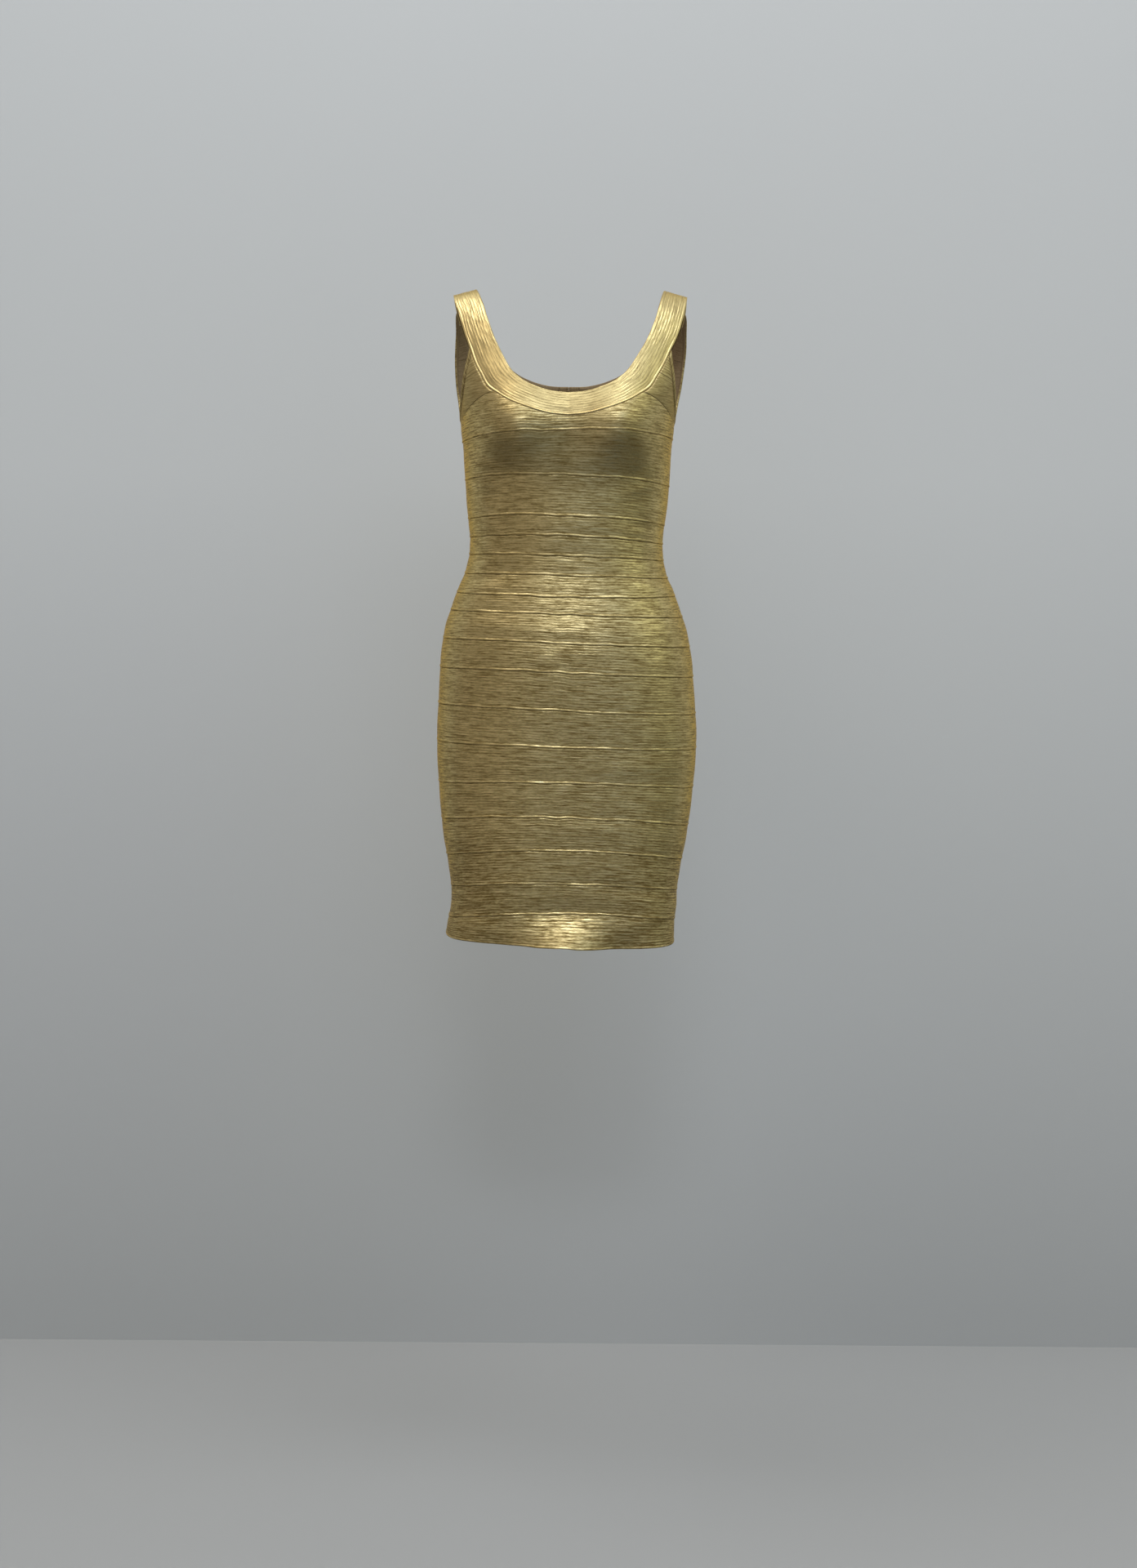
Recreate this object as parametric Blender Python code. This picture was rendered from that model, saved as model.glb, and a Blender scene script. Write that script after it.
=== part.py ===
"""Sleeveless bodycon dress of foil-coated bandage knit, standing in its worn shape and hollow.

Units are metres, +Z up. The front faces -Y, and the wearer's left is at +X. The origin is
midway between the two straps, on the line where the shoulders carry their undersides.

The cloth lies on one skin, a stack of rounded sections. A place on it is an angle round the
dress (0 at the wearer's left side seam, a quarter turn at the centre, a half turn at the right
side seam) and a drop, the distance below the line over the shoulders. Sizes below are in
millimetres, and every mesh is scaled to metres as it is made.
"""

import math

import bmesh
import bpy
import numpy as np

METRES = 0.001
FRONT, BACK = -1, 1
LEFT, RIGHT = 1, -1
SIDE_SEAM, CENTRE = 0.0, math.pi / 2

WALL = 2.0
SEAM_GAP = 0.3
RIDGE_WIDTH = 3.2
RIDGE_HEIGHT = 0.9
RIDGE_EDGE_HEIGHT = 0.3
BAND_COLUMNS = 20
NARROWEST_BACK, NARROWEST_HALF_WIDTH = 84.0, 116.9

STRAP_MIDDLE = 127.0
SHOULDER_SLOPE = 0.27
SHOULDER_FADE_START, SHOULDER_FADE_END = 15.0, 90.0

SECTION_COLUMNS = (
    "drop", "middle", "half_width", "front", "back", "front_square", "back_square",
)
SECTIONS = (
    (0, 1.5, 162.0, 0, 0, 2.60, 2.60),
    (3, 1.8, 161.5, 17, 17, 2.60, 2.60),
    (10, 2.2, 160.5, 31, 31, 2.60, 2.60),
    (20, 2.8, 158.5, 44, 45, 2.60, 2.60),
    (36, 3.2, 156.0, 60, 62, 2.60, 2.60),
    (60, 2.8, 152.0, 77, 82, 2.60, 2.60),
    (85, 1.6, 147.0, 91, 95, 2.60, 2.60),
    (100, 1.0, 144.0, 98, 99, 2.60, 2.55),
    (120, 0.4, 139.3, 105, 102, 2.55, 2.50),
    (135, 0.0, 134.8, 109, 103, 2.50, 2.45),
    (151, -0.4, 130.0, 112, 103, 2.50, 2.40),
    (168, -0.6, 128.0, 113, 102, 2.45, 2.30),
    (200, -0.4, 125.0, 107, 97, 2.40, 2.20),
    (222, -0.3, 123.9, 101, 93, 2.35, 2.15),
    (236, -0.2, 123.0, 99, 91, 2.30, 2.15),
    (268, -0.5, 120.0, 97, 87, 2.30, 2.10),
    (297, -0.8, 116.9, 97, 84, 2.30, 2.10),
    (320, -1.0, 118.3, 98, 85, 2.30, 2.10),
    (340, -1.5, 123.5, 100, 88, 2.30, 2.15),
    (357, -1.4, 131.0, 103, 92, 2.35, 2.15),
    (377, -1.2, 138.1, 107, 98, 2.35, 2.20),
    (396, -1.0, 144.7, 111, 104, 2.40, 2.20),
    (436, 0.0, 152.4, 116, 112, 2.45, 2.25),
    (476, 0.8, 155.2, 116, 117, 2.50, 2.30),
    (536, 1.5, 158.3, 113, 119, 2.60, 2.35),
    (597, 1.0, 155.1, 109, 115, 2.70, 2.30),
    (657, 0.2, 148.4, 106, 108, 2.85, 2.25),
    (698, -0.1, 141.0, 103, 103, 3.10, 2.25),
    (718, -0.2, 138.3, 101, 100, 3.40, 2.25),
    (739, -0.6, 137.6, 99, 97, 3.70, 2.25),
    (760, -3.6, 138.4, 98, 95, 4.00, 2.25),
    (785, -5.6, 140.0, 98, 93, 4.20, 2.25),
)

CUP_X, CUP_DROP, CUP_DEPTH = 69.0, 165.0, 16.0
CUP_SPREAD_X, CUP_SPREAD_UP, CUP_SPREAD_DOWN = 37.0, 42.0, 34.0
KICK_X, KICK_START, KICK_END, KICK_DEPTH, KICK_SPREAD = 8.0, 736.0, 786.0, 9.0, 62.0

# Horizontal seams: how far down each lies at the centre and at the wearer's two sides.
SEAM_COLUMNS = ("centre", "right_side", "left_side")
SEAMS = (
    (170.0, 181.0, 176.0),
    (222.0, 226.0, 232.0),
    (269.5, 272.5, 279.0),
    (293.3, 294.5, 301.5),
    (316.4, 315.3, 321.3),
    (339.5, 338.0, 342.5),
    (364.6, 360.5, 363.5),
    (385.7, 382.0, 389.0),
    (419.4, 416.0, 425.0),
    (454.0, 451.0, 461.0),
    (499.0, 495.0, 506.0),
    (542.7, 540.0, 548.0),
    (585.5, 591.0, 595.5),
    (627.0, 635.5, 642.0),
    (667.0, 680.0, 684.0),
    (707.0, 718.0, 721.0),
    (743.5, 756.0, 757.0),
    (783.0, 775.0, 783.5),
)
ZIPPED_BANDS = 10
CUP_BANDS = (1, 2)
CUP_ROWS = 3

# Neckband stations from the centre front over the shoulder to the centre back.
NECK_COLUMNS = ("side", "inner_x", "inner_drop", "outer_x", "outer_drop")
NECK_STATIONS = (
    (FRONT, 0.0, 125.0, 0.0, 152.5),
    (FRONT, 20.0, 123.0, 24.0, 150.0),
    (FRONT, 38.0, 117.5, 47.0, 143.5),
    (FRONT, 54.0, 110.0, 68.0, 135.5),
    (FRONT, 65.0, 101.0, 83.0, 126.8),
    (FRONT, 71.5, 93.0, 96.0, 117.5),
    (FRONT, 77.0, 84.0, 104.0, 104.0),
    (FRONT, 83.0, 74.5, 112.0, 89.5),
    (FRONT, 89.0, 64.5, 118.5, 73.5),
    (FRONT, 95.0, 52.0, 126.5, 54.0),
    (FRONT, 101.0, 36.5, 133.0, 32.0),
    (FRONT, 105.5, 21.0, 137.0, 17.0),
    (FRONT, 109.0, 10.0, 139.0, 9.5),
    (FRONT, 111.5, 3.0, 140.3, 3.0),
    (FRONT, 113.0, 0.0, 141.0, 0.0),
    (BACK, 113.5, 3.0, 141.0, 3.0),
    (BACK, 112.5, 10.0, 140.5, 10.0),
    (BACK, 110.0, 21.0, 139.0, 20.0),
    (BACK, 106.0, 36.0, 135.5, 36.0),
    (BACK, 100.0, 52.0, 129.0, 54.0),
    (BACK, 92.0, 66.0, 119.5, 74.0),
    (BACK, 80.0, 79.0, 107.0, 92.0),
    (BACK, 64.0, 90.5, 90.0, 108.0),
    (BACK, 46.0, 98.5, 68.0, 120.5),
    (BACK, 26.0, 103.5, 40.0, 129.0),
    (BACK, 0.0, 105.0, 0.0, 132.5),
)
NECK_LENGTHWISE = 34
NECK_RIBS = 8
RIB_HEIGHT = 0.45
NECK_RIDGE_HEIGHT = 1.1

# The armhole's edge from the front strap down to the side seam, and up to the back strap.
ARMHOLE_COLUMNS = ("x", "drop")
ARMHOLE_EDGES = {
    FRONT: ((119.8, 71.0), (122.0, 84.0), (125.0, 100.0), (127.3, 118.0), (128.9, 134.0)),
    BACK: ((134.5, 128.0), (138.5, 105.0), (141.0, 80.0), (141.5, 50.0), (139.6, 17.5)),
}
ARMHOLE_UNDERARM_DROP = 151.0
ARMHOLE_FINE = 160
BINDING_WIDTH = 4.5
BINDING_HEIGHT = 0.7
BINDING_STATIONS = 18

# The two slanting seams over each breast and shoulder blade start on the neckband's edge.
UPPER_STATION = {FRONT: 8, BACK: 9}
CHEST_STATION = {FRONT: 6, BACK: 6}
CHEST_SEAM_BENDS = {
    FRONT: ((104.0, 131.0), (116.0, 141.0), (124.5, 151.5)),
    BACK: ((110.0, 121.0), (122.0, 136.0), (127.5, 149.0)),
}
CHEST_SEAM_END_DROP = 159.5
UPPER_SEAM_FALL = {FRONT: 8.5, BACK: 9.0}
TIP_WIDTH = 1.2
TYPICAL_REACH = 100.0

SLIDER_DROP = 115.0
SLIDER_WIDTH, SLIDER_LENGTH, SLIDER_PLATE = 5.6, 11.0, 1.5
BRIDGE_WIDTH, BRIDGE_THICK, BRIDGE_HALF_LENGTH, BRIDGE_RISE = 1.5, 1.2, 2.4, 2.5
PIVOT_ABOVE_PLATE = 1.2
TAB_THICK, TAB_EYE_WIDTH, TAB_EYE_LENGTH = 1.2, 2.4, 5.4
TAB_LENGTH, TAB_TOP_WIDTH, TAB_END_WIDTH = 27.0, 4.8, 7.2

FOIL_GOLD = (0.56, 0.43, 0.20)
NECKBAND_GOLD = (0.66, 0.54, 0.30)
METAL_GOLD = (0.72, 0.56, 0.28)


def table(columns, rows):
    """The rows as one array for each named column."""
    return dict(zip(columns, np.array(rows, dtype=float).T))


def smooth(at, knots, values):
    """A curve through the values at the knots, cubic between them with slopes from neighbours."""
    slopes = np.gradient(values, knots, axis=0)
    at = np.clip(np.asarray(at, dtype=float), knots[0], knots[-1])
    start = np.clip(np.searchsorted(knots, at) - 1, 0, len(knots) - 2)
    step = knots[start + 1] - knots[start]
    t = (at - knots[start]) / step
    if values.ndim > 1:
        spread = (-1,) + (1,) * (values.ndim - 1)
        t, step = t.reshape(spread), step.reshape(spread)
    return (
        values[start] * (2 * t**3 - 3 * t**2 + 1)
        + slopes[start] * (t**3 - 2 * t**2 + t) * step
        + values[start + 1] * (3 * t**2 - 2 * t**3)
        + slopes[start + 1] * (t**3 - t**2) * step
    )


def ramp(value, start, end):
    """0 before start, 1 after end, and a soft rise between."""
    t = np.clip((value - start) / (end - start), 0, 1)
    return t * t * (3 - 2 * t)


SHAPE = table(SECTION_COLUMNS, SECTIONS)
SEAM_TABLE = table(SEAM_COLUMNS, SEAMS)
NECK = table(NECK_COLUMNS, NECK_STATIONS)
ARMHOLE = {side: table(ARMHOLE_COLUMNS, rows) for side, rows in ARMHOLE_EDGES.items()}
CHEST_SEAM = {side: table(ARMHOLE_COLUMNS, rows) for side, rows in CHEST_SEAM_BENDS.items()}


def section(drop, side):
    """Middle, half width, depth and squareness of the section at each drop."""
    depth, square = ("front", "front_square") if side == FRONT else ("back", "back_square")
    knots = SHAPE["drop"]
    squared = smooth(drop, knots, SHAPE[depth] ** 2)
    return (
        smooth(drop, knots, SHAPE["middle"]),
        smooth(drop, knots, SHAPE["half_width"]),
        np.sqrt(np.maximum(squared, 0)),
        smooth(drop, knots, SHAPE[square]),
    )


def bulge(x, drop, half_width, side):
    """How far the cut stands out past the plain section: two cups, and the kick at the hem."""
    if side == BACK:
        return np.zeros(np.broadcast(x, drop).shape)
    spread = np.where(drop < CUP_DROP, CUP_SPREAD_UP, CUP_SPREAD_DOWN)
    cup = CUP_DEPTH * np.exp(
        -(((np.abs(x) - CUP_X) / CUP_SPREAD_X) ** 2) - ((drop - CUP_DROP) / spread) ** 2
    )
    kick = KICK_DEPTH * ramp(drop, KICK_START, KICK_END) * np.exp(
        -(((x - KICK_X) / KICK_SPREAD) ** 2)
    )
    return (cup + kick) * (1 - np.clip(np.abs(x) / half_width, 0, 1) ** 6)


def height(x, drop):
    """World height of a place on the skin: the line over the shoulders slopes down outwards."""
    slope = SHOULDER_SLOPE * (np.abs(x) - STRAP_MIDDLE)
    return WALL - drop - slope * (1 - ramp(drop, SHOULDER_FADE_START, SHOULDER_FADE_END))


def skin(angle, drop, side):
    """Points on the outer face of the cloth at an angle and a drop."""
    middle, half_width, depth, square = section(drop, side)
    reach = (
        (np.abs(np.cos(angle)) / half_width) ** square
        + (np.abs(np.sin(angle)) / np.maximum(depth, 1)) ** square
    ) ** (-1 / square)
    x = reach * np.cos(angle)
    y = reach * np.sin(angle) + bulge(x, drop, half_width, side)
    return np.stack(np.broadcast_arrays(middle + x, side * y, height(x, drop)), axis=-1)


def lay(x, drop, side, hand):
    """Points on the outer face by their distance from the middle, as seen from the front."""
    middle, half_width, depth, square = section(drop, side)
    y = depth * (1 - (x / half_width) ** square) ** (1 / square)
    y = y + bulge(hand * x, drop, half_width, side)
    return np.stack(np.broadcast_arrays(middle + hand * x, side * y, height(x, drop)), axis=-1)


def place_of(points, side):
    """The angles and drops of points that lie on the skin."""
    drop = WALL - points[:, 2]
    for _ in range(6):
        middle, half_width, _, _ = section(drop, side)
        x = points[:, 0] - middle
        drop = drop + height(x, drop) - points[:, 2]
    y = np.abs(points[:, 1]) - bulge(x, drop, half_width, side)
    return np.stack([np.arctan2(np.maximum(y, 0), x), drop], axis=-1)


def outward(angle, drop, side):
    """Unit normals of the skin, pointing out of the dress."""
    turn, fall = 1e-4, 0.02
    round_dress = skin(angle + turn, drop, side) - skin(angle - turn, drop, side)
    down_dress = skin(angle, drop + fall, side) - skin(angle, drop - fall, side)
    normal = np.cross(round_dress, down_dress) * -side
    return normal / np.linalg.norm(normal, axis=-1, keepdims=True)


def lifted(place, side, lift):
    """Points over a place, moved out from the cloth's outer face by lift."""
    angle, drop = place[..., 0], place[..., 1]
    return skin(angle, drop, side) + outward(angle, drop, side) * np.asarray(lift)[..., None]


def shifted(path, side, distance):
    """A path on the skin moved sideways within it. A minus distance moves it the other way."""
    points = skin(path[:, 0], path[:, 1], side)
    along = np.gradient(points, axis=0)
    across = np.cross(outward(path[:, 0], path[:, 1], side), along)
    across /= np.linalg.norm(across, axis=1, keepdims=True)
    return place_of(points + across * distance, side)


def resampled(path, count):
    """A path's points spread evenly along it."""
    steps = np.linalg.norm(np.diff(path * (TYPICAL_REACH, 1), axis=0), axis=1)
    run = np.concatenate([[0], np.cumsum(steps)])
    wanted = np.linspace(0, run[-1], count)
    return np.stack([np.interp(wanted, run, path[:, i]) for i in range(2)], axis=-1)


def mirrored(path):
    """The same path on the other half of the dress."""
    return np.stack([math.pi - path[:, 0], path[:, 1]], axis=-1)


def foil(name, colour, metallic=0.85, roughness=0.34):
    """A metallic finish of one colour."""
    material = bpy.data.materials.new(name)
    material.use_nodes = True
    shader = material.node_tree.nodes["Principled BSDF"]
    shader.inputs["Base Color"].default_value = (*colour, 1)
    shader.inputs["Metallic"].default_value = metallic
    shader.inputs["Roughness"].default_value = roughness
    material.diffuse_color = (*colour, 1)
    return material


def add_object(name, mesh_builder, colour):
    """A named object from a bmesh in millimetres, with its faces turned outwards."""
    bmesh.ops.recalc_face_normals(mesh_builder, faces=mesh_builder.faces)
    if mesh_builder.calc_volume(signed=True) < 0:
        bmesh.ops.reverse_faces(mesh_builder, faces=mesh_builder.faces)
    bmesh.ops.scale(mesh_builder, vec=(METRES,) * 3, verts=mesh_builder.verts)
    mesh = bpy.data.meshes.new(name)
    mesh_builder.to_mesh(mesh)
    mesh_builder.free()
    mesh.shade_smooth()
    mesh.set_sharp_from_angle(angle=math.radians(40))
    mesh.materials.append(foil(name, colour))
    made = bpy.data.objects.new(name, mesh)
    bpy.context.scene.collection.objects.link(made)
    return made


def loft(name, profiles, colour):
    """One closed solid through the closed profiles, an array of (profile, point, xyz)."""
    builder = bmesh.new()
    rings = [[builder.verts.new(point) for point in profile] for profile in profiles]
    size = len(rings[0])
    for first, second in zip(rings, rings[1:]):
        for i in range(size):
            j = (i + 1) % size
            builder.faces.new((first[i], first[j], second[j], second[i]))
    builder.faces.new(rings[0])
    builder.faces.new(reversed(rings[-1]))
    return add_object(name, builder, colour)


def cloth(name, upper, lower, side, colour, ridge=RIDGE_HEIGHT, rows=0):
    """A cloth wall between two edges of equal length, its lower edge raised as a sewn ridge."""
    width = np.linalg.norm(
        skin(upper[:, 0], upper[:, 1], side) - skin(lower[:, 0], lower[:, 1], side), axis=1
    )
    ridge_share = np.clip(RIDGE_WIDTH / width, 0, 0.5)
    flat = [np.full(len(upper), i / (rows + 1)) for i in range(rows + 1)]
    outer_shares = [share * (1 - ridge_share) for share in flat]
    outer_shares += [1 - ridge_share, 1 - ridge_share / 3, np.ones(len(upper))]
    outer_lifts = [0.0] * (rows + 2) + [ridge, ridge * RIDGE_EDGE_HEIGHT / RIDGE_HEIGHT]
    inner_shares = [np.full(len(upper), 1 - i / (rows + 1)) for i in range(rows + 2)]
    points = []
    for share, lift in zip(
        outer_shares + inner_shares, outer_lifts + [-WALL] * (rows + 2)
    ):
        place = upper + (lower - upper) * share[:, None]
        points.append(lifted(place, side, np.full(len(upper), lift)))
    return loft(name, np.stack(points, axis=1), colour)


def seam_path(number, angles):
    """Places along one horizontal seam."""
    centre, right_side, left_side = (SEAM_TABLE[column][number] for column in SEAM_COLUMNS)
    turn = np.cos(angles)
    mean_side = (left_side + right_side) / 2
    drop = centre + (mean_side - centre) * turn**4 + (left_side - right_side) / 2 * turn
    return np.stack([angles, drop], axis=-1)


def gap_angle(angle):
    """Half a seam's gap as an angle, at the side seam or the centre."""
    return SEAM_GAP / 2 / (NARROWEST_BACK if angle == CENTRE else NARROWEST_HALF_WIDTH)


# ---- neckband ----


def neck_grid(hand, shares):
    """Points over one half of the neckband, an array of (station, share across, xyz)."""
    x = NECK["inner_x"][:, None] * (1 - shares) + NECK["outer_x"][:, None] * shares
    drop = NECK["inner_drop"][:, None] * (1 - shares) + NECK["outer_drop"][:, None] * shares
    on_front = NECK["side"] == FRONT
    front = lay(x[on_front], drop[on_front], FRONT, hand)
    back = lay(x[~on_front], drop[~on_front], BACK, hand)
    return np.concatenate([front, back])


def along_stations(grid, count):
    """The grid read again at count stations, evenly spread along its middle."""
    middle = grid[:, grid.shape[1] // 2]
    run = np.concatenate([[0], np.cumsum(np.linalg.norm(np.diff(middle, axis=0), axis=1))])
    return smooth(np.linspace(0, run[-1], count), run, grid)


def make_neckband():
    """One ribbed band round the whole neck, open at the centre back, where the zip closes it."""
    shares = np.linspace(0, 1, 2 * NECK_RIBS + 1)
    left, right = (
        along_stations(neck_grid(hand, shares), NECK_LENGTHWISE) for hand in (LEFT, RIGHT)
    )
    loop = np.concatenate([left[::-1], right[1:]])
    normal = np.cross(np.gradient(loop, axis=0), np.gradient(loop, axis=1))
    normal[[0, -1], :, 0] = 0
    normal /= np.linalg.norm(normal, axis=2, keepdims=True)
    loop[0, :, 0] += SEAM_GAP / 2
    loop[-1, :, 0] -= SEAM_GAP / 2
    lifts = np.where(np.arange(len(shares)) % 2, RIB_HEIGHT, 0.0)
    lifts[-2:] = NECK_RIDGE_HEIGHT, NECK_RIDGE_HEIGHT / 2
    outer = loop + normal * lifts[None, :, None]
    inner = (loop - normal * WALL)[:, [-1, NECK_RIBS, 0]]
    return loft("neckband", np.concatenate([outer, inner], axis=1), NECKBAND_GOLD)


def neck_edge(side):
    """The neckband's own stations along its outer edge, from the centre to the shoulder."""
    edge = along_stations(neck_grid(LEFT, np.array([0.0, 0.5, 1.0])), NECK_LENGTHWISE)[:, 2]
    on_side = edge[edge[:, 1] * side > 0]
    return place_of(on_side if side == FRONT else on_side[::-1], side)


def clear_of_neckband(path, side):
    """A path beside the neckband moved a seam's gap away from it."""
    return shifted(path, side, side * SEAM_GAP)


# ---- armholes ----


def armhole_edge(side):
    """Places along one side of the armhole's edge, from the strap to the side seam."""
    front, back = (
        lay(ARMHOLE[half]["x"], ARMHOLE[half]["drop"], half, LEFT) for half in (FRONT, BACK)
    )
    under = skin(SIDE_SEAM, ARMHOLE_UNDERARM_DROP, FRONT)[None]
    points = np.concatenate([front, under, back])
    run = np.concatenate([[0], np.cumsum(np.linalg.norm(np.diff(points, axis=0), axis=1))])
    bottom = run[len(front)]
    wanted = np.linspace(0 if side == FRONT else run[-1], bottom, ARMHOLE_FINE)
    path = place_of(smooth(wanted, run, points), side)
    path[-1, 0] = SIDE_SEAM
    return path


def binding_edge(side, distance):
    """Stations on the armhole's edge, or moved into the cloth, from the neckband downwards."""
    path = armhole_edge(side)
    if distance:
        path = shifted(path, side, side * distance)
        path[-1, 0] = SIDE_SEAM
    neck = clear_of_neckband(neck_edge(side), side)
    x = skin(path[:, 0], path[:, 1], side)[:, 0]
    neck_x = skin(neck[:, 0], neck[:, 1], side)[:, 0]
    order = np.argsort(neck[:, 1])
    clear = x - np.interp(path[:, 1], neck[order, 1], neck_x[order])
    first = np.argmax(clear > SEAM_GAP)
    return resampled(path[first:], BINDING_STATIONS)


def make_binding(hand, name):
    """The narrow turned edge round the underside of an armhole, from strap to strap."""
    widths = (0.0, 0.25, 0.75, 1.0, 1.0, 0.0)
    lifts = (0.0, BINDING_HEIGHT, BINDING_HEIGHT, 0.1, -WALL, -WALL)
    halves = []
    for side in (FRONT, BACK):
        edge, inner = binding_edge(side, 0), binding_edge(side, BINDING_WIDTH)
        points = []
        for share, lift in zip(widths, lifts):
            place = edge + (inner - edge) * share
            place = place if hand == LEFT else mirrored(place)
            points.append(lifted(place, side, np.full(len(place), lift)))
        halves.append(np.stack(points, axis=1))
    return loft(name, np.concatenate([halves[0], halves[1][-2::-1]]), FOIL_GOLD)


# ---- upper panels and bands ----


def chest_seam(side):
    """Places along the slanting seam from the neckband's edge to the top of the side seam."""
    start = neck_edge(side)[[CHEST_STATION[side]]]
    bends = lay(CHEST_SEAM[side]["x"], CHEST_SEAM[side]["drop"], side, LEFT)
    end = [[SIDE_SEAM, CHEST_SEAM_END_DROP]]
    rows = np.concatenate([start, place_of(bends, side), end])
    run = np.arange(len(rows), dtype=float)
    return smooth(np.linspace(0, run[-1], 2 * len(rows)), run, rows)


def matched(first, second, side):
    """Both edges with the stations of each, and cut back to where they stand apart."""
    shares = []
    for edge in (first, second):
        steps = np.linalg.norm(np.diff(edge * (TYPICAL_REACH, 1), axis=0), axis=1)
        shares.append(np.concatenate([[0], np.cumsum(steps)]) / steps.sum())
    both = np.unique(np.round(np.concatenate(shares), 3))
    first, second = (
        np.stack([np.interp(both, share, edge[:, i]) for i in range(2)], axis=-1)
        for share, edge in zip(shares, (first, second))
    )
    apart = np.linalg.norm(
        skin(first[:, 0], first[:, 1], side) - skin(second[:, 0], second[:, 1], side), axis=1
    )
    wide = np.nonzero(apart > TIP_WIDTH)[0]
    return first[wide[0] : wide[-1] + 1], second[wide[0] : wide[-1] + 1]


def drawn_back(edge, start):
    """An edge shortened at one end by half a seam's gap."""
    ends = edge[:2] if start else edge[-1:-3:-1]
    length = np.linalg.norm((ends[1] - ends[0]) * (TYPICAL_REACH, 1))
    edge[0 if start else -1] += (ends[1] - ends[0]) * SEAM_GAP / 2 / length


def make_upper_panels(side, hand, names):
    """The two small pieces between the neckband and the armhole, one above the other."""
    neck = clear_of_neckband(neck_edge(side), side)
    arm = shifted(binding_edge(side, BINDING_WIDTH), side, side * SEAM_GAP)
    arm[-1, 0] = SIDE_SEAM
    top_drop, seam_drop = arm[0, 1], neck[UPPER_STATION[side], 1]
    meeting = np.argmin(np.abs(neck[:, 1] - top_drop))
    arm_cut = np.argmin(np.abs(arm[:, 1] - seam_drop - UPPER_SEAM_FALL[side]))
    shoulder = neck[UPPER_STATION[side] : meeting + 1][::-1], arm[: arm_cut + 1]
    under = chest_seam(side)
    under[:, 1] -= SEAM_GAP / 2
    chest_neck = neck[CHEST_STATION[side] : UPPER_STATION[side] + 1][::-1]
    chest = np.concatenate([chest_neck, under[1:]]), arm[arm_cut:]
    for name, edges in zip(names, (shoulder, chest)):
        first, second = matched(*edges, side)
        for edge in (first, second):
            drawn_back(edge, start=name == names[1])
        if hand == RIGHT:
            first, second = mirrored(first), mirrored(second)
        cloth(name, first, second, side, FOIL_GOLD, ridge=0.0, rows=1)


def top_band_edge(side):
    """Upper edge of the first band on the wearer's left, from the side seam to the centre."""
    seam = chest_seam(side)[::-1]
    seam[:, 1] += SEAM_GAP / 2
    neck = clear_of_neckband(neck_edge(side)[: CHEST_STATION[side] + 1], side)[::-1]
    edge = np.concatenate([seam[:-1], neck])
    edge[-1, 0] = CENTRE
    return edge


def band_angles(start, end):
    """Angles of a band's columns, drawn back from its ends by half a seam's gap."""
    count = round(BAND_COLUMNS * abs(end - start) / math.pi) + 1
    angles = np.linspace(start, end, count)
    direction = math.copysign(1, end - start)
    angles[0] += direction * gap_angle(start)
    angles[-1] -= direction * gap_angle(end)
    return angles


def make_band(name, number, side, start, end):
    """One horizontal band between two seams, counted from 1 under the topmost band."""
    angles = band_angles(start, end)
    half_gap = (0, SEAM_GAP / 2)
    upper = seam_path(number - 1, angles) + half_gap
    lower = seam_path(number, angles) - half_gap
    over_cups = side == FRONT and number in CUP_BANDS
    cloth(name, upper, lower, side, FOIL_GOLD, rows=CUP_ROWS if over_cups else 0)


def make_top_band(name, side, hands):
    """The band under the neckband, over the whole front or one half of the back."""
    half = top_band_edge(side)
    upper = half if hands[0] == LEFT else mirrored(half)
    if len(hands) == 2:
        upper = np.concatenate([half, mirrored(half)[-2::-1]])
    inwards = math.copysign(1, upper[-1, 0] - upper[0, 0])
    upper[0, 0] += inwards * gap_angle(SIDE_SEAM)
    upper[-1, 0] -= inwards * gap_angle(SIDE_SEAM if len(hands) == 2 else CENTRE)
    lower = seam_path(0, upper[:, 0]) - (0, SEAM_GAP / 2)
    cloth(name, upper, lower, side, FOIL_GOLD, rows=CUP_ROWS)


def make_cloth():
    """Every cut piece of the dress."""
    make_neckband()
    for hand, word in ((LEFT, "left"), (RIGHT, "right")):
        make_binding(hand, f"armhole_binding_{word}")
        for side, side_word in ((FRONT, "front"), (BACK, "back")):
            names = (f"{side_word}_shoulder_{word}", f"{side_word}_chest_{word}")
            make_upper_panels(side, hand, names)
    make_top_band("front_band_01", FRONT, (LEFT, RIGHT))
    make_top_band("back_band_01_left", BACK, (LEFT,))
    make_top_band("back_band_01_right", BACK, (RIGHT,))
    for number in range(1, len(SEAMS)):
        label = f"band_{number + 1:02d}"
        make_band(f"front_{label}", number, FRONT, SIDE_SEAM, math.pi)
        if number < ZIPPED_BANDS:
            make_band(f"back_{label}_left", number, BACK, SIDE_SEAM, CENTRE)
            make_band(f"back_{label}_right", number, BACK, math.pi, CENTRE)
        else:
            make_band(f"back_{label}", number, BACK, SIDE_SEAM, math.pi)


# ---- zip ----


def zip_frame():
    """The pivot of the pull tab, and how far the cloth there leans back from upright."""
    place = np.array([[CENTRE, SLIDER_DROP]])
    seat = lifted(place, BACK, np.array([RIB_HEIGHT + SEAM_GAP]))[0]
    normal = outward(place[:, 0], place[:, 1], BACK)[0]
    lean = math.atan2(normal[2], normal[1])
    pivot = seat + normal * (SLIDER_PLATE + PIVOT_ABOVE_PLATE)
    return pivot - (pivot[0], 0, 0), lean


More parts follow.
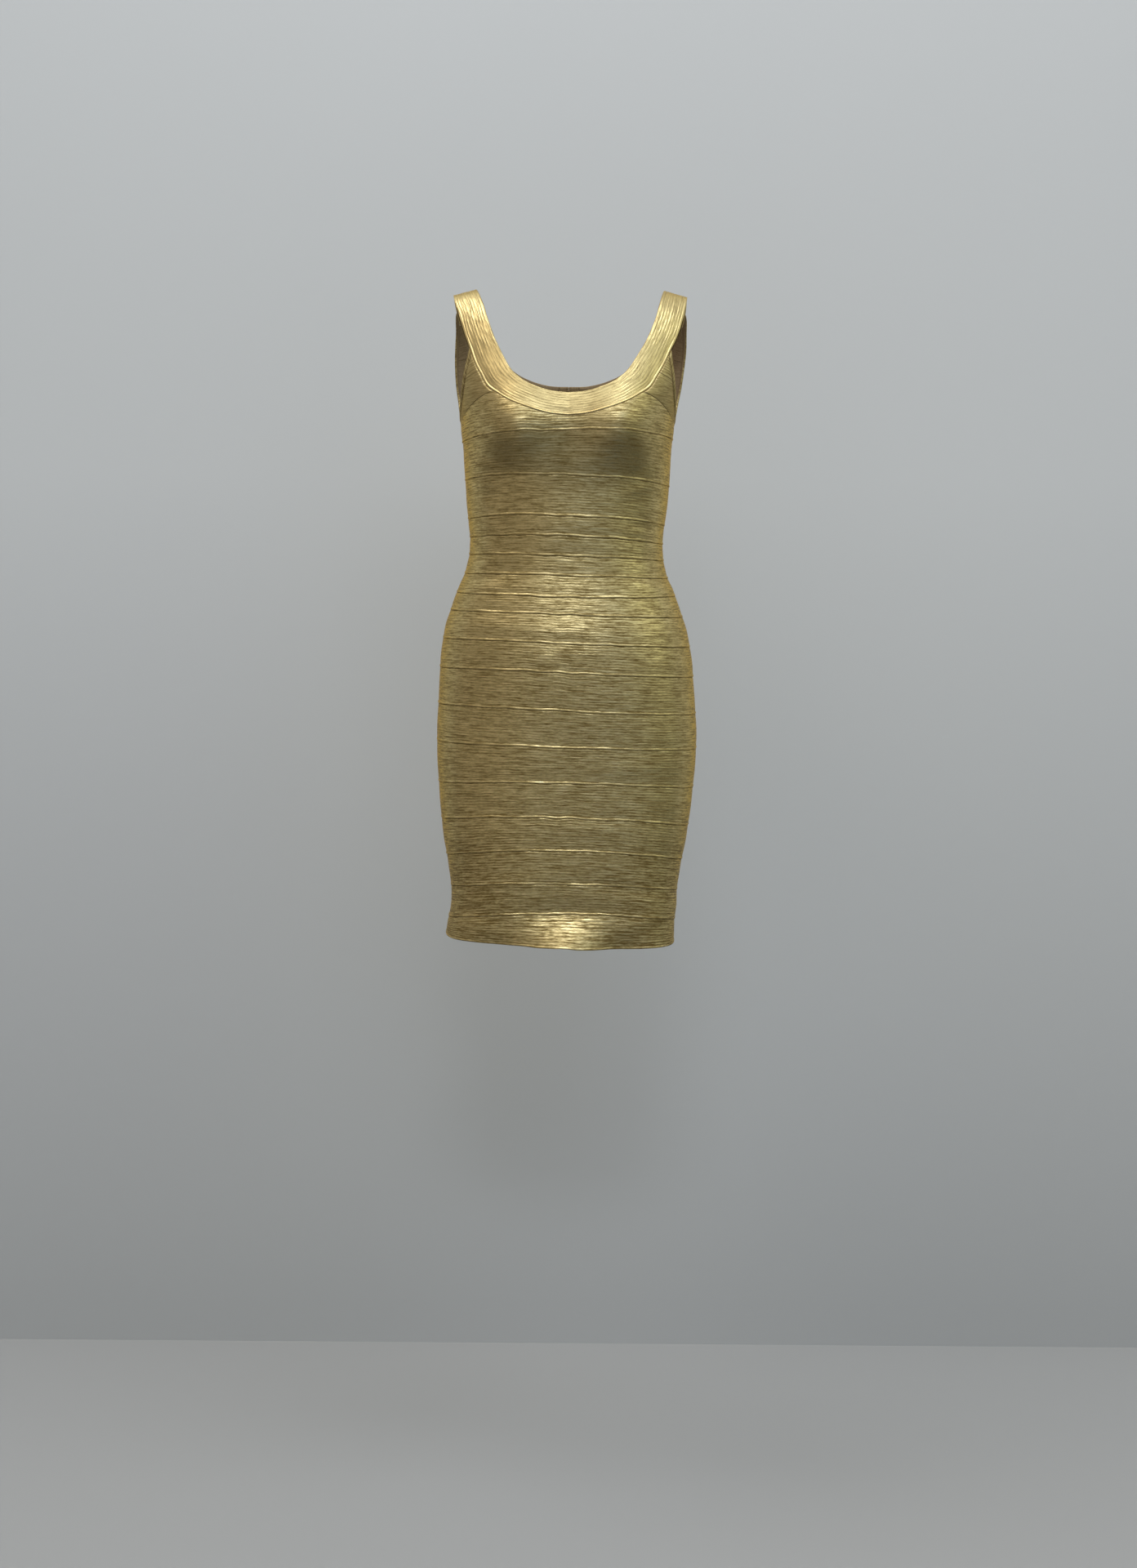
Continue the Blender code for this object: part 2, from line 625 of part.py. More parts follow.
def outline_solid(name, outline, low, high, hole=None):
    """A flat piece from its outline in x and z, between two y, with an optional hole."""
    builder = bmesh.new()
    loops = []
    for y in (low, high):
        outer = [builder.verts.new((x, y, z)) for x, z in outline]
        inner = [builder.verts.new((x, y, z)) for x, z in hole] if hole is not None else []
        loops.append((outer, inner))
    for i, low_loop in enumerate(loops[0]):
        high_loop = loops[1][i]
        for k in range(len(low_loop)):
            j = (k + 1) % len(low_loop)
            builder.faces.new((low_loop[k], low_loop[j], high_loop[j], high_loop[k]))
    for outer, inner in loops:
        if not inner:
            builder.faces.new(outer)
            continue
        for k in range(len(outer)):
            j = (k + 1) % len(outer)
            builder.faces.new((outer[k], outer[j], inner[j], inner[k]))
    return add_object(name, builder, METAL_GOLD)


def tab_outlines():
    """The tab's outer and inner outlines, hanging down from its pivot at the origin."""
    turns = np.linspace(0, 2 * math.pi, 32, endpoint=False)
    across, along = np.sin(turns), np.cos(turns)
    top = TAB_THICK / 2
    middle = (top - TAB_LENGTH) / 2
    z = middle + along * (TAB_LENGTH + top) / 2
    fall = (top - z) / (TAB_LENGTH + top)
    width = TAB_TOP_WIDTH + (TAB_END_WIDTH - TAB_TOP_WIDTH) * fall
    x = np.sign(across) * np.abs(across) ** 0.55 * width / 2
    eye_middle = -TAB_THICK / 2 - TAB_EYE_LENGTH / 2
    eye_z = eye_middle + np.sign(along) * np.abs(along) ** 0.6 * TAB_EYE_LENGTH / 2
    eye_x = np.sign(across) * np.abs(across) ** 0.6 * TAB_EYE_WIDTH / 2
    return np.stack([x, z], axis=1), np.stack([eye_x, eye_z], axis=1)


def bridge_profiles():
    """Sections of the arch over the tab's top bar, along half an oval from leg to leg."""
    half = BRIDGE_WIDTH / 2
    profiles = []
    for turn in np.linspace(0, math.pi, 13):
        inner, outer = (
            (
                math.sin(turn) * (BRIDGE_RISE + thick) - PIVOT_ABOVE_PLATE,
                math.cos(turn) * (BRIDGE_HALF_LENGTH + thick),
            )
            for thick in (0, BRIDGE_THICK)
        )
        profiles.append(((-half, *inner), (half, *inner), (half, *outer), (-half, *outer)))
    profiles = np.array(profiles)
    profiles[[0, -1], :, 1] -= SLIDER_PLATE / 3
    return profiles


def make_zip():
    """The zip's slider on the neckband at the centre back, and its pull tab on a pivot."""
    pivot, lean = zip_frame()
    turns = np.linspace(0, 2 * math.pi, 24, endpoint=False)
    x = np.sign(np.sin(turns)) * np.abs(np.sin(turns)) ** 0.5 * SLIDER_WIDTH / 2
    z = np.sign(np.cos(turns)) * np.abs(np.cos(turns)) ** 0.5 * SLIDER_LENGTH / 2
    plate_top = -PIVOT_ABOVE_PLATE
    slider = outline_solid(
        "zip_slider", np.stack([x, z], axis=1), plate_top - SLIDER_PLATE, plate_top
    )
    bridge = loft("bridge", bridge_profiles(), METAL_GOLD)
    join = slider.modifiers.new("bridge", "BOOLEAN")
    join.operation = "UNION"
    join.object = bridge
    bridge.hide_render = True
    bridge.display_type = "WIRE"
    outline, eye = tab_outlines()
    tab = outline_solid("zip_pull_tab", outline, -TAB_THICK / 2, TAB_THICK / 2, eye)
    for piece in (slider, bridge, tab):
        piece.location = [value * METRES for value in pivot]
        piece.rotation_euler = (lean, 0, 0)


for old in list(bpy.data.objects):
    bpy.data.objects.remove(old, do_unlink=True)
make_cloth()
make_zip()
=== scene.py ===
"""The looks of a sleeveless bodycon dress of foil-coated bandage knit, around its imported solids.

Sizes in the sections are millimetres and become metres where a mesh is made. The front faces
-Y, and the wearer's left is at +X. Each piece of cloth is a thin closed shell on the shape of
its solid, with the ribs of the knit, the sewn ridges and the soft creases in its outer face.
"""

import math

import bpy
import numpy as np
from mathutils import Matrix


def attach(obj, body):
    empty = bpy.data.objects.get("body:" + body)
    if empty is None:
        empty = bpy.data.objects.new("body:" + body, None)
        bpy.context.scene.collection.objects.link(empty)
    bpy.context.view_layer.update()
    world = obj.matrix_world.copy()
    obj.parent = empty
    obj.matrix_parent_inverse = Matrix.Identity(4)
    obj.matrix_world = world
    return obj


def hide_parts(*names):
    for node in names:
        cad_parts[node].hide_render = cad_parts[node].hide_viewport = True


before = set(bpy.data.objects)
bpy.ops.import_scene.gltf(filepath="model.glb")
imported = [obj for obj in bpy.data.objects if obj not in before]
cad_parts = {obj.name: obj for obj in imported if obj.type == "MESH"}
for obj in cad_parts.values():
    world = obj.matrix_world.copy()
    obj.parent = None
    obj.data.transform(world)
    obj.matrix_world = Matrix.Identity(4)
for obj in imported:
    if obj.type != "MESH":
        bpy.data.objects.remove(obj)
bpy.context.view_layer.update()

# ---- Front bands ----
# Horizontal bands of rib knit with gold foil pressed onto the outer face, stretched over the
# figure from side seam to side seam. Each band's lower edge is sewn over the next one's upper
# edge, and stands out as a narrow ridge.

METRES = 0.001
FRONT, BACK = -1, 1
LEFT, RIGHT = 1, -1
SIDE_SEAM, CENTRE = 0.0, math.pi / 2
WALL = 2.0
SEAM_GAP = 0.3

STRAP_MIDDLE = 127.0
SHOULDER_SLOPE = 0.27
SHOULDER_FADE = (15.0, 90.0)

SECTION_COLUMNS = (
    "drop", "middle", "half_width", "front", "back", "front_square", "back_square",
)
SECTIONS = (
    (0, 1.5, 162.0, 0, 0, 2.60, 2.60),
    (3, 1.8, 161.5, 17, 17, 2.60, 2.60),
    (10, 2.2, 160.5, 31, 31, 2.60, 2.60),
    (20, 2.8, 158.5, 44, 45, 2.60, 2.60),
    (36, 3.2, 156.0, 60, 62, 2.60, 2.60),
    (60, 2.8, 152.0, 77, 82, 2.60, 2.60),
    (85, 1.6, 147.0, 91, 95, 2.60, 2.60),
    (100, 1.0, 144.0, 98, 99, 2.60, 2.55),
    (120, 0.4, 139.3, 105, 102, 2.55, 2.50),
    (135, 0.0, 134.8, 109, 103, 2.50, 2.45),
    (151, -0.4, 130.0, 112, 103, 2.50, 2.40),
    (168, -0.6, 128.0, 113, 102, 2.45, 2.30),
    (200, -0.4, 125.0, 107, 97, 2.40, 2.20),
    (222, -0.3, 123.9, 101, 93, 2.35, 2.15),
    (236, -0.2, 123.0, 99, 91, 2.30, 2.15),
    (268, -0.5, 120.0, 97, 87, 2.30, 2.10),
    (297, -0.8, 116.9, 97, 84, 2.30, 2.10),
    (320, -1.0, 118.3, 98, 85, 2.30, 2.10),
    (340, -1.5, 123.5, 100, 88, 2.30, 2.15),
    (357, -1.4, 131.0, 103, 92, 2.35, 2.15),
    (377, -1.2, 138.1, 107, 98, 2.35, 2.20),
    (396, -1.0, 144.7, 111, 104, 2.40, 2.20),
    (436, 0.0, 152.4, 116, 112, 2.45, 2.25),
    (476, 0.8, 155.2, 116, 117, 2.50, 2.30),
    (536, 1.5, 158.3, 113, 119, 2.60, 2.35),
    (597, 1.0, 155.1, 109, 115, 2.70, 2.30),
    (657, 0.2, 148.4, 106, 108, 2.85, 2.25),
    (698, -0.1, 141.0, 103, 103, 3.10, 2.25),
    (718, -0.2, 138.3, 101, 100, 3.40, 2.25),
    (739, -0.6, 137.6, 99, 97, 3.70, 2.25),
    (760, -3.6, 138.4, 98, 95, 4.00, 2.25),
    (785, -5.6, 140.0, 98, 93, 4.20, 2.25),
)

CUP_X, CUP_DROP, CUP_DEPTH = 69.0, 165.0, 16.0
CUP_SPREAD_X, CUP_SPREAD_UP, CUP_SPREAD_DOWN = 37.0, 42.0, 34.0
KICK_X, KICK_DROPS, KICK_DEPTH, KICK_SPREAD = 8.0, (736.0, 786.0), 9.0, 62.0

# Horizontal seams: how far down each lies at the centre and at the wearer's two sides.
SEAM_COLUMNS = ("centre", "right_side", "left_side")
SEAMS = (
    (170.0, 181.0, 176.0),
    (222.0, 226.0, 232.0),
    (269.5, 272.5, 279.0),
    (293.3, 294.5, 301.5),
    (316.4, 315.3, 321.3),
    (339.5, 338.0, 342.5),
    (364.6, 360.5, 363.5),
    (385.7, 382.0, 389.0),
    (419.4, 416.0, 425.0),
    (454.0, 451.0, 461.0),
    (499.0, 495.0, 506.0),
    (542.7, 540.0, 548.0),
    (585.5, 591.0, 595.5),
    (627.0, 635.5, 642.0),
    (667.0, 680.0, 684.0),
    (707.0, 718.0, 721.0),
    (743.5, 756.0, 757.0),
    (783.0, 775.0, 783.5),
)
NARROWEST_BACK, NARROWEST_HALF_WIDTH = 84.0, 116.9
SEAM_WANDER, WANDER_TURNS, WANDER_APART = 0.9, 6, 3.3

# Soft creases of the worn cloth. Each is a trough (minus) or a ridge along a slanting line:
# its middle, half its length, half its width, its fall to +X in degrees, and its depth.
CREASE_COLUMNS = ("side", "x", "drop", "length", "width", "slant", "depth")
CREASES = (
    (FRONT, -104, 196, 30, 6.0, 24, -1.1),
    (FRONT, 101, 205, 28, 6.5, -28, -1.2),
    (FRONT, 88, 236, 34, 7.0, -16, 0.9),
    (FRONT, -92, 246, 30, 7.0, 14, -0.8),
    (FRONT, 96, 282, 26, 5.5, 12, -0.9),
    (FRONT, -88, 322, 30, 6.5, -10, 0.8),
    (FRONT, -98, 344, 24, 6.0, -18, -1.0),
    (FRONT, 100, 352, 26, 6.5, 16, 0.8),
    (FRONT, -20, 404, 60, 9.0, 3, 0.6),
    (FRONT, 60, 440, 46, 9.0, -4, -0.6),
    (FRONT, -78, 520, 52, 11.0, 5, -0.8),
    (FRONT, 82, 566, 44, 10.0, -7, 0.8),
    (FRONT, -96, 612, 34, 9.0, 9, -1.0),
    (FRONT, 30, 640, 58, 9.0, 3, 0.7),
    (FRONT, -58, 704, 44, 8.0, -7, 1.3),
    (FRONT, 70, 712, 40, 8.0, 8, -1.2),
    (FRONT, -92, 748, 30, 9.0, 20, -1.4),
    (FRONT, 96, 752, 28, 8.0, -18, 1.2),
    (FRONT, 0, 740, 50, 12.0, 0, -2.0),
    (FRONT, -2, 790, 36, 21.0, 0, 9.5),
    (FRONT, 70, 796, 26, 27.0, 0, -8.0),
    (FRONT, -86, 796, 34, 27.0, 0, -9.0),
    (FRONT, 0, 186, 34, 20.0, 0, -2.0),
    (FRONT, 0, 276, 62, 32.0, 0, 2.4),
    (BACK, -70, 236, 46, 8.0, 9, -1.0),
    (BACK, 66, 252, 42, 7.5, -8, -0.9),
    (BACK, -40, 290, 56, 7.0, 4, -1.3),
    (BACK, 46, 306, 52, 7.5, -5, 1.1),
    (BACK, -58, 332, 50, 8.0, 7, 1.0),
    (BACK, 62, 346, 46, 7.5, -9, -1.2),
    (BACK, 0, 372, 70, 9.0, 0, 0.7),
    (BACK, -84, 560, 46, 10.0, 8, -0.8),
    (BACK, 78, 602, 44, 10.0, -7, 0.8),
    (BACK, 10, 668, 60, 10.0, 2, -0.8),
    (BACK, -70, 716, 44, 9.0, -8, 1.1),
    (BACK, 74, 742, 38, 9.0, 10, -1.2),
)

RIB_PITCH, RIB_HEIGHT = 3.2, 0.2
RIB_WOBBLE, RIB_UNEVENNESS = 0.22, 0.7
ROWS_TO_A_RIB = 4
PILLOW = 0.45
COLUMN_STEP, HALF_ROUND = 2.6, 430.0
RIDGE_WIDTH, RIDGE_HEIGHT, RIDGE_LEAST, RIDGE_FOIL = 3.2, 0.95, 0.6, 0.3
RIDGE_ROWS = np.array([0.0, 0.18, 0.38, 0.56, 0.74, 0.88, 0.97, 1.0])[:, None]
RIDGE_PROFILE = np.array([0.0, 0.35, 0.8, 1.0, 0.98, 0.8, 0.45, 0.1])[:, None]

# How far along a band its unevenness changes: the ribs' wander, their height, and the seam.
WOBBLE_RUN, LONG_DASH, SHORT_DASH, SEAM_RUN = 34.0, 48.0, 19.0, 45.0
LATTICE_SIZE = 61

# Ribs lie flatter and the foil stays whole at the sides and towards the top. Towards the hem
# the ribs stand out more, and the foil is dulled and darkened at the sides, which is painted
# shade. A pair gives the drops, or the shares of the way to the side seam, at which that begins
# and is full.
FLAT_AT_SIDES, WHOLE_FOIL = 0.6, 2.0
CALM_DROPS, CALM_SHARE = (430.0, 310.0), 0.14
WORN_DROPS, WORN_SHARE = (560.0, 640.0), 0.3
# Painted shade at the lower sides: where it lies, and how much of the foil's level it takes away.
PAINTED_SHADE_DROPS, PAINTED_SHADE_SIDES, PAINTED_SHADE_SHARE = (590.0, 720.0), (0.3, 0.75), 0.6

# Each band's seed sets its unevenness and the start of its foil's pattern apart from the others.
BACK_SEED, RIGHT_SEED = 20.5, 13.7
PATTERN_APART = 1700.0


def table(columns, rows):
    """The rows as one array for each named column."""
    return dict(zip(columns, np.array(rows, dtype=float).T))


def smooth(at, knots, values):
    """A curve through the values at the knots, cubic between them with slopes from neighbours."""
    slopes = np.gradient(values, knots, axis=0)
    at = np.clip(np.asarray(at, dtype=float), knots[0], knots[-1])
    start = np.clip(np.searchsorted(knots, at) - 1, 0, len(knots) - 2)
    step = knots[start + 1] - knots[start]
    t = (at - knots[start]) / step
    if values.ndim > 1:
        spread = (-1,) + (1,) * (values.ndim - 1)
        t, step = t.reshape(spread), step.reshape(spread)
    return (
        values[start] * (2 * t**3 - 3 * t**2 + 1)
        + slopes[start] * (t**3 - 2 * t**2 + t) * step
        + values[start + 1] * (3 * t**2 - 2 * t**3)
        + slopes[start + 1] * (t**3 - t**2) * step
    )


def ramp(value, start, end):
    """0 before start, 1 after end, and a soft rise between. An end below start turns it round."""
    t = np.clip((value - start) / (end - start), 0, 1)
    return t * t * (3 - 2 * t)


SHAPE = table(SECTION_COLUMNS, SECTIONS)
SEAM_TABLE = table(SEAM_COLUMNS, SEAMS)
CREASE = table(CREASE_COLUMNS, CREASES)


def section(drop, side):
    """Middle, half width, depth and squareness of the section at each drop."""
    depth, square = ("front", "front_square") if side == FRONT else ("back", "back_square")
    knots = SHAPE["drop"]
    squared = smooth(drop, knots, SHAPE[depth] ** 2)
    return (
        smooth(drop, knots, SHAPE["middle"]),
        smooth(drop, knots, SHAPE["half_width"]),
        np.sqrt(np.maximum(squared, 0)),
        smooth(drop, knots, SHAPE[square]),
    )


def bulge(x, drop, half_width, side):
    """How far the cut stands out past the plain section: two cups, and the kick at the hem."""
    if side == BACK:
        return np.zeros(np.broadcast(x, drop).shape)
    spread = np.where(drop < CUP_DROP, CUP_SPREAD_UP, CUP_SPREAD_DOWN)
    cup = CUP_DEPTH * np.exp(
        -(((np.abs(x) - CUP_X) / CUP_SPREAD_X) ** 2) - ((drop - CUP_DROP) / spread) ** 2
    )
    kick = KICK_DEPTH * ramp(drop, *KICK_DROPS) * np.exp(-(((x - KICK_X) / KICK_SPREAD) ** 2))
    return (cup + kick) * (1 - np.clip(np.abs(x) / half_width, 0, 1) ** 6)


def height(x, drop):
    """World height of a place: the line over the shoulders slopes down outwards."""
    slope = SHOULDER_SLOPE * (np.abs(x) - STRAP_MIDDLE)
    return WALL - drop - slope * (1 - ramp(drop, *SHOULDER_FADE))


def skin(angle, drop, side):
    """Points on the outer face: the angle's ray meets the rounded section of that drop."""
    middle, half_width, depth, square = section(drop, side)
    reach = (
        (np.abs(np.cos(angle)) / half_width) ** square
        + (np.abs(np.sin(angle)) / np.maximum(depth, 1)) ** square
    ) ** (-1 / square)
    x = reach * np.cos(angle)
    y = reach * np.sin(angle) + bulge(x, drop, half_width, side)
    return np.stack(np.broadcast_arrays(middle + x, side * y, height(x, drop)), axis=-1)


def on_skin(places, side):
    """Points on the outer face. Each place is an angle and a drop."""
    return skin(places[..., 0], places[..., 1], side)


def outward(angle, drop, side):
    """Unit normals of the skin, from the cross product of its two slopes."""
    turn, fall = 1e-4, 0.02
    round_dress = skin(angle + turn, drop, side) - skin(angle - turn, drop, side)
    down_dress = skin(angle, drop + fall, side) - skin(angle, drop - fall, side)
    normal = np.cross(round_dress, down_dress) * -side
    return normal / np.linalg.norm(normal, axis=-1, keepdims=True)


def creased(points, drop, side):
    """Lift of the soft creases: each is a bell curve across its line and one along it."""
    lift = np.zeros(drop.shape)
    for x, middle, length, width, slant, depth in zip(
        *(CREASE[column][CREASE["side"] == side] for column in CREASE_COLUMNS[1:])
    ):
        turn = math.radians(slant)
        along = (points[..., 0] - x) * math.cos(turn) + (drop - middle) * math.sin(turn)
        across = (drop - middle) * math.cos(turn) - (points[..., 0] - x) * math.sin(turn)
        lift += depth * np.exp(-((along / length) ** 2) - (across / width) ** 2)
    return lift


def lifted(places, side, lift):
    """Points over places on the creased skin, moved out along its normals by lift."""
    angle, drop = places[..., 0], places[..., 1]
    points = skin(angle, drop, side)
    out = lift + creased(points, drop, side)
    return points + outward(angle, drop, side) * out[..., None]


def between(first, second, share):
    """Places at shares of the way from one edge to the other, an array of (row, column)."""
    return first[None] + (second - first)[None] * share[..., None]


def inner_face(first, second, side, rows):
    """Points of the cloth's inner face between two edges, a wall's thickness inside the skin."""
    return lifted(between(first, second, np.linspace(0, 1, rows)[:, None]), side, -WALL)


def run_of(points):
    """Distance along a line of points, from its first one."""
    steps = np.linalg.norm(np.diff(points, axis=0), axis=1)
    return np.concatenate([[0], np.cumsum(steps)])


def width_and_run(first, second, side):
    """Distance between two edges at each column, and the run along the line midway."""
    first, second = on_skin(first, side), on_skin(second, side)
    return np.linalg.norm(first - second, axis=1), run_of((first + second) / 2)


def grain(u, v, seed):
    """Smooth unevenness from -1 to 1: random numbers on a lattice, blended between its corners."""
    size = LATTICE_SIZE
    lattice = np.random.default_rng(seed).uniform(-1, 1, (size, size))
    u, v = np.broadcast_arrays(u, v)
    left, low = np.floor(u).astype(int), np.floor(v).astype(int)
    s, t = u - left, v - low
    s, t = s * s * (3 - 2 * s), t * t * (3 - 2 * t)
    below = lattice[left % size, low % size] * (1 - s) + lattice[(left + 1) % size, low % size] * s
    high = (low + 1) % size
    above = lattice[left % size, high] * (1 - s) + lattice[(left + 1) % size, high] * s
    return below * (1 - t) + above * t


def band_rows(width, cut):
    """Rows from a band's upper edge to its lower one: share across, rib number, and ridge, each an
    array of (row, column). The ribs of a cut band run along its lower edge at an even pitch, and
    those of a whole strip are spread between its edges."""
    typical = max(float(width.max() if cut else np.median(width)), 3 * RIB_PITCH)
    ribs = max(2, round((typical - RIDGE_WIDTH) / RIB_PITCH))
    even = np.arange(ROWS_TO_A_RIB * ribs)[:, None] / (ROWS_TO_A_RIB * ribs)
    seam = RIDGE_WIDTH / width[None]
    share = np.concatenate([even * (1 - seam), 1 - (1 - RIDGE_ROWS) * seam])
    spread = np.concatenate([even, 1 + RIDGE_ROWS / ribs]) * ribs * np.ones_like(share)
    rib = (1 - share) * width / RIB_PITCH if cut else spread
    ridge = np.concatenate([np.zeros_like(even), RIDGE_PROFILE]) * np.ones_like(share)
    return share, rib, ridge


def seam_wave(number, angles):
    """A small wander of each seam, which the pieces above and below it share."""
    wander = grain(angles * WANDER_TURNS, number * WANDER_APART, 11)
    return SEAM_WANDER * wander * np.sin(angles) ** 2


def seam_path(number, angles):
    """Places along a seam: from the centre's drop to the sides', by the cosine's fourth power."""
    centre, right_side, left_side = (SEAM_TABLE[column][number] for column in SEAM_COLUMNS)
    turn = np.cos(angles)
    mean_side = (left_side + right_side) / 2
    drop = centre + (mean_side - centre) * turn**4 + (left_side - right_side) / 2 * turn
    return np.stack([angles, drop + seam_wave(number, angles)], axis=-1)


def gap_angle(angle):
    """Half a seam's gap as an angle, at the side seam or the centre."""
    return SEAM_GAP / 2 / (NARROWEST_BACK if angle == CENTRE else NARROWEST_HALF_WIDTH)


def placed(name, data):
    """A new object of the scene."""
    made = bpy.data.objects.new(name, data)
    bpy.context.scene.collection.objects.link(made)
    return made


def mesh_of(name, points, faces, *finishes):
    """A mesh from points in millimetres, the corners of each face, and its materials."""
    mesh = bpy.data.meshes.new(name)
    mesh.from_pydata(points * METRES, [], faces)
    for finish in finishes:
        mesh.materials.append(finish)
    return mesh


def turn_outwards(mesh, points):
    """Turns a closed mesh whose faces point inwards, for which the sum of a . (b x c) over its
    triangles is negative."""
    mesh.calc_loop_triangles()
    corners = np.zeros(len(mesh.loop_triangles) * 3, int)
    mesh.loop_triangles.foreach_get("vertices", corners)
    a, b, c = points[corners.reshape(-1, 3)].transpose(1, 0, 2)
    if np.einsum("ij,ij->", a, np.cross(b, c)) < 0:
        mesh.flip_normals()


def shell(name, outer, inner, level, along, across, outside, inside):
    """A closed mesh from two grids with equal columns: outer face, inner face, and the rim. The
    outer face carries the level of the foil, and both carry the knit's own coordinates."""
    size = outer.shape[:2]
    rows, columns = size
    number = np.arange(rows * columns).reshape(size)
    behind = rows * columns + np.arange(len(inner) * columns).reshape(-1, columns)

    def quads(a):
        """The four corners of each square between a grid's points, in turn."""
        return np.stack([a[:-1, :-1], a[1:, :-1], a[1:, 1:], a[:-1, 1:]], axis=-1).reshape(-1, 4)

    front, back = quads(number), quads(behind)[:, ::-1]
    top = np.stack([number[0, 1:], behind[0, 1:], behind[0, :-1], number[0, :-1]], axis=-1)
    low = np.stack([number[-1, :-1], behind[-1, :-1], behind[-1, 1:], number[-1, 1:]], axis=-1)
    first_cap = np.concatenate([number[:, 0][::-1], behind[:, 0]])
    last_cap = np.concatenate([number[:, -1], behind[::-1, -1]])
    faces = [*front.tolist(), *top.tolist(), *low.tolist(), *back.tolist()]
    faces += [first_cap.tolist(), last_cap.tolist()]
    points = np.concatenate([outer.reshape(-1, 3), inner.reshape(-1, 3)])
    mesh = mesh_of(name, points, faces, outside, inside)
    weave = []
    for way in (np.broadcast_to(along, size), np.broadcast_to(across, size)):
        back_way = np.linspace(way[0], way[-1], len(inner))
        weave.append(np.concatenate([way.ravel(), back_way.ravel()]))
    corners = np.zeros(len(mesh.loops), int)
    mesh.loops.foreach_get("vertex_index", corners)
    woven = np.stack(weave, axis=-1)[corners] * METRES
    layer = mesh.uv_layers.new(name="weave")
    layer.uv.foreach_set("vector", woven.astype(np.float32).ravel())
    rib = mesh.attributes.new("rib", "FLOAT", "POINT")
    level = np.concatenate([np.broadcast_to(level, size).ravel(), np.zeros(behind.size)])
    rib.data.foreach_set("value", level.astype(np.float32))
    slots = np.zeros(len(faces), np.int32)
    slots[-len(back) - 2 : -2] = 1
    mesh.polygons.foreach_set("material_index", slots)
    mesh.shade_smooth()
    mesh.validate()
    turn_outwards(mesh, points)
    return placed(name, mesh)


class Value:
    """A shader socket that can stand in a sum: each operator adds its Math node."""

    def __init__(self, nodes, socket):
        self.nodes, self.socket = nodes, socket

    def math(self, operation, first, second):
        return self.nodes.node("ShaderNodeMath", {"operation": operation}, {0: first, 1: second})

    def __add__(self, other):
        return self.math("ADD", self, other)

    def __sub__(self, other):
        return self.math("SUBTRACT", self, other)

    def __rsub__(self, other):
        return self.math("SUBTRACT", other, self)

    def __mul__(self, other):
        return self.math("MULTIPLY", self, other)

    __radd__, __rmul__ = __add__, __mul__


class Nodes:
    """A shader tree, with one method that adds any node."""

    def __init__(self, tree):
        self.tree = tree

    def put(self, socket, value):
        """A value, or the link from another node, into a socket."""
        if isinstance(value, Value):
            self.tree.links.new(value.socket, socket)
        else:
            socket.default_value = value

    def node(self, kind, settings, sockets, output=0):
        """A node with its settings made first, and then its sockets by name or number."""
        made = self.tree.nodes.new(kind)
        for name, value in settings.items():
            setattr(made, name, value)
        for name, value in sockets.items():
            self.put(made.inputs[name], value)
        return Value(self, made.outputs[output])

    def mix(self, share, first, second):
        """A colour between two, by a share."""
        return self.node(
            "ShaderNodeMix", {"data_type": "RGBA"}, {0: share, 6: first, 7: second}, output=2
        )

    def steps(self, value, low, high):
        """0 below low, 1 above high, and a straight rise between."""
        return self.node(
            "ShaderNodeMapRange",
            {"clamp": True},
            {"Value": value, "From Min": low, "From Max": high, "To Min": 0.0, "To Max": 1.0},
        )

    def axes(self, vector):
        """The x, y and z of a vector."""
        split = self.node("ShaderNodeSeparateXYZ", {}, {0: vector})
        return [Value(self, socket) for socket in split.socket.node.outputs]


class Finish(Nodes):
    """A material and its Principled shader."""

    def __init__(self, name, colour):
        self.material = bpy.data.materials.new(name)
        self.material.use_nodes = True
        self.material.diffuse_color = (*colour, 1)
        super().__init__(self.material.node_tree)
        self.shader = self.tree.nodes["Principled BSDF"]

    def set(self, **sockets):
        """Values or links into the shader's own sockets, with _ for each space in a name."""
        for name, value in sockets.items():
            self.put(self.shader.inputs[name.replace("_", " ")], value)

    def weave(self, along, across):
        """The cloth's own coordinates, stretched to a pattern of that many repeats a metre."""
        place = self.node("ShaderNodeUVMap", {"uv_map": "weave"}, {})
        return self.node(
            "ShaderNodeVectorMath", {"operation": "MULTIPLY"}, {0: place, 1: (along, across, 1)}
        )

    def line_place(self, along, lines, apart):
        """A place for noise along thin lines, so many to a rib, which jumps between them."""
        run, across, _ = self.axes(self.weave(along, lines / (RIB_PITCH * METRES)))
        row = across.math("FLOOR", across, 0.0)
        return self.node("ShaderNodeCombineXYZ", {}, {0: run, 1: row * apart})

    def noise(self, place, detail=2.0, roughness=0.5):
        """Soft noise from 0 to 1 at a place in the weave."""
        return self.node(
            "ShaderNodeTexNoise",
            {"noise_dimensions": "2D"},
            {"Vector": place, "Scale": 1.0, "Detail": detail, "Roughness": roughness},
        )

    def solid_noise(self, scale, detail=2.0):
        """Soft noise from 0 to 1 through the whole piece, with so many repeats a metre."""
        place = self.node("ShaderNodeTexCoord", {}, {}, output=3)
        return self.node(
            "ShaderNodeTexNoise", {}, {"Vector": place, "Scale": scale, "Detail": detail}
        )

    def bump(self, height, strength, distance=0.0005):
        """Normals that lean with a height."""
        return self.node(
            "ShaderNodeBump", {}, {"Strength": strength, "Distance": distance, "Height": height}
        )


FOIL_BRIGHT, FOIL_DEEP = (0.82, 0.675, 0.34), (0.52, 0.385, 0.135)
FOIL_EDGE_ON = (0.84, 0.58, 0.21, 1)
YARN_DARK = (0.15, 0.10, 0.032, 1)
YARN_COLOUR, YARN_HOLLOW, YARN_LIGHT = (
    (0.42, 0.31, 0.17), (0.20, 0.135, 0.065, 1), (0.36, 0.26, 0.14, 1),
)


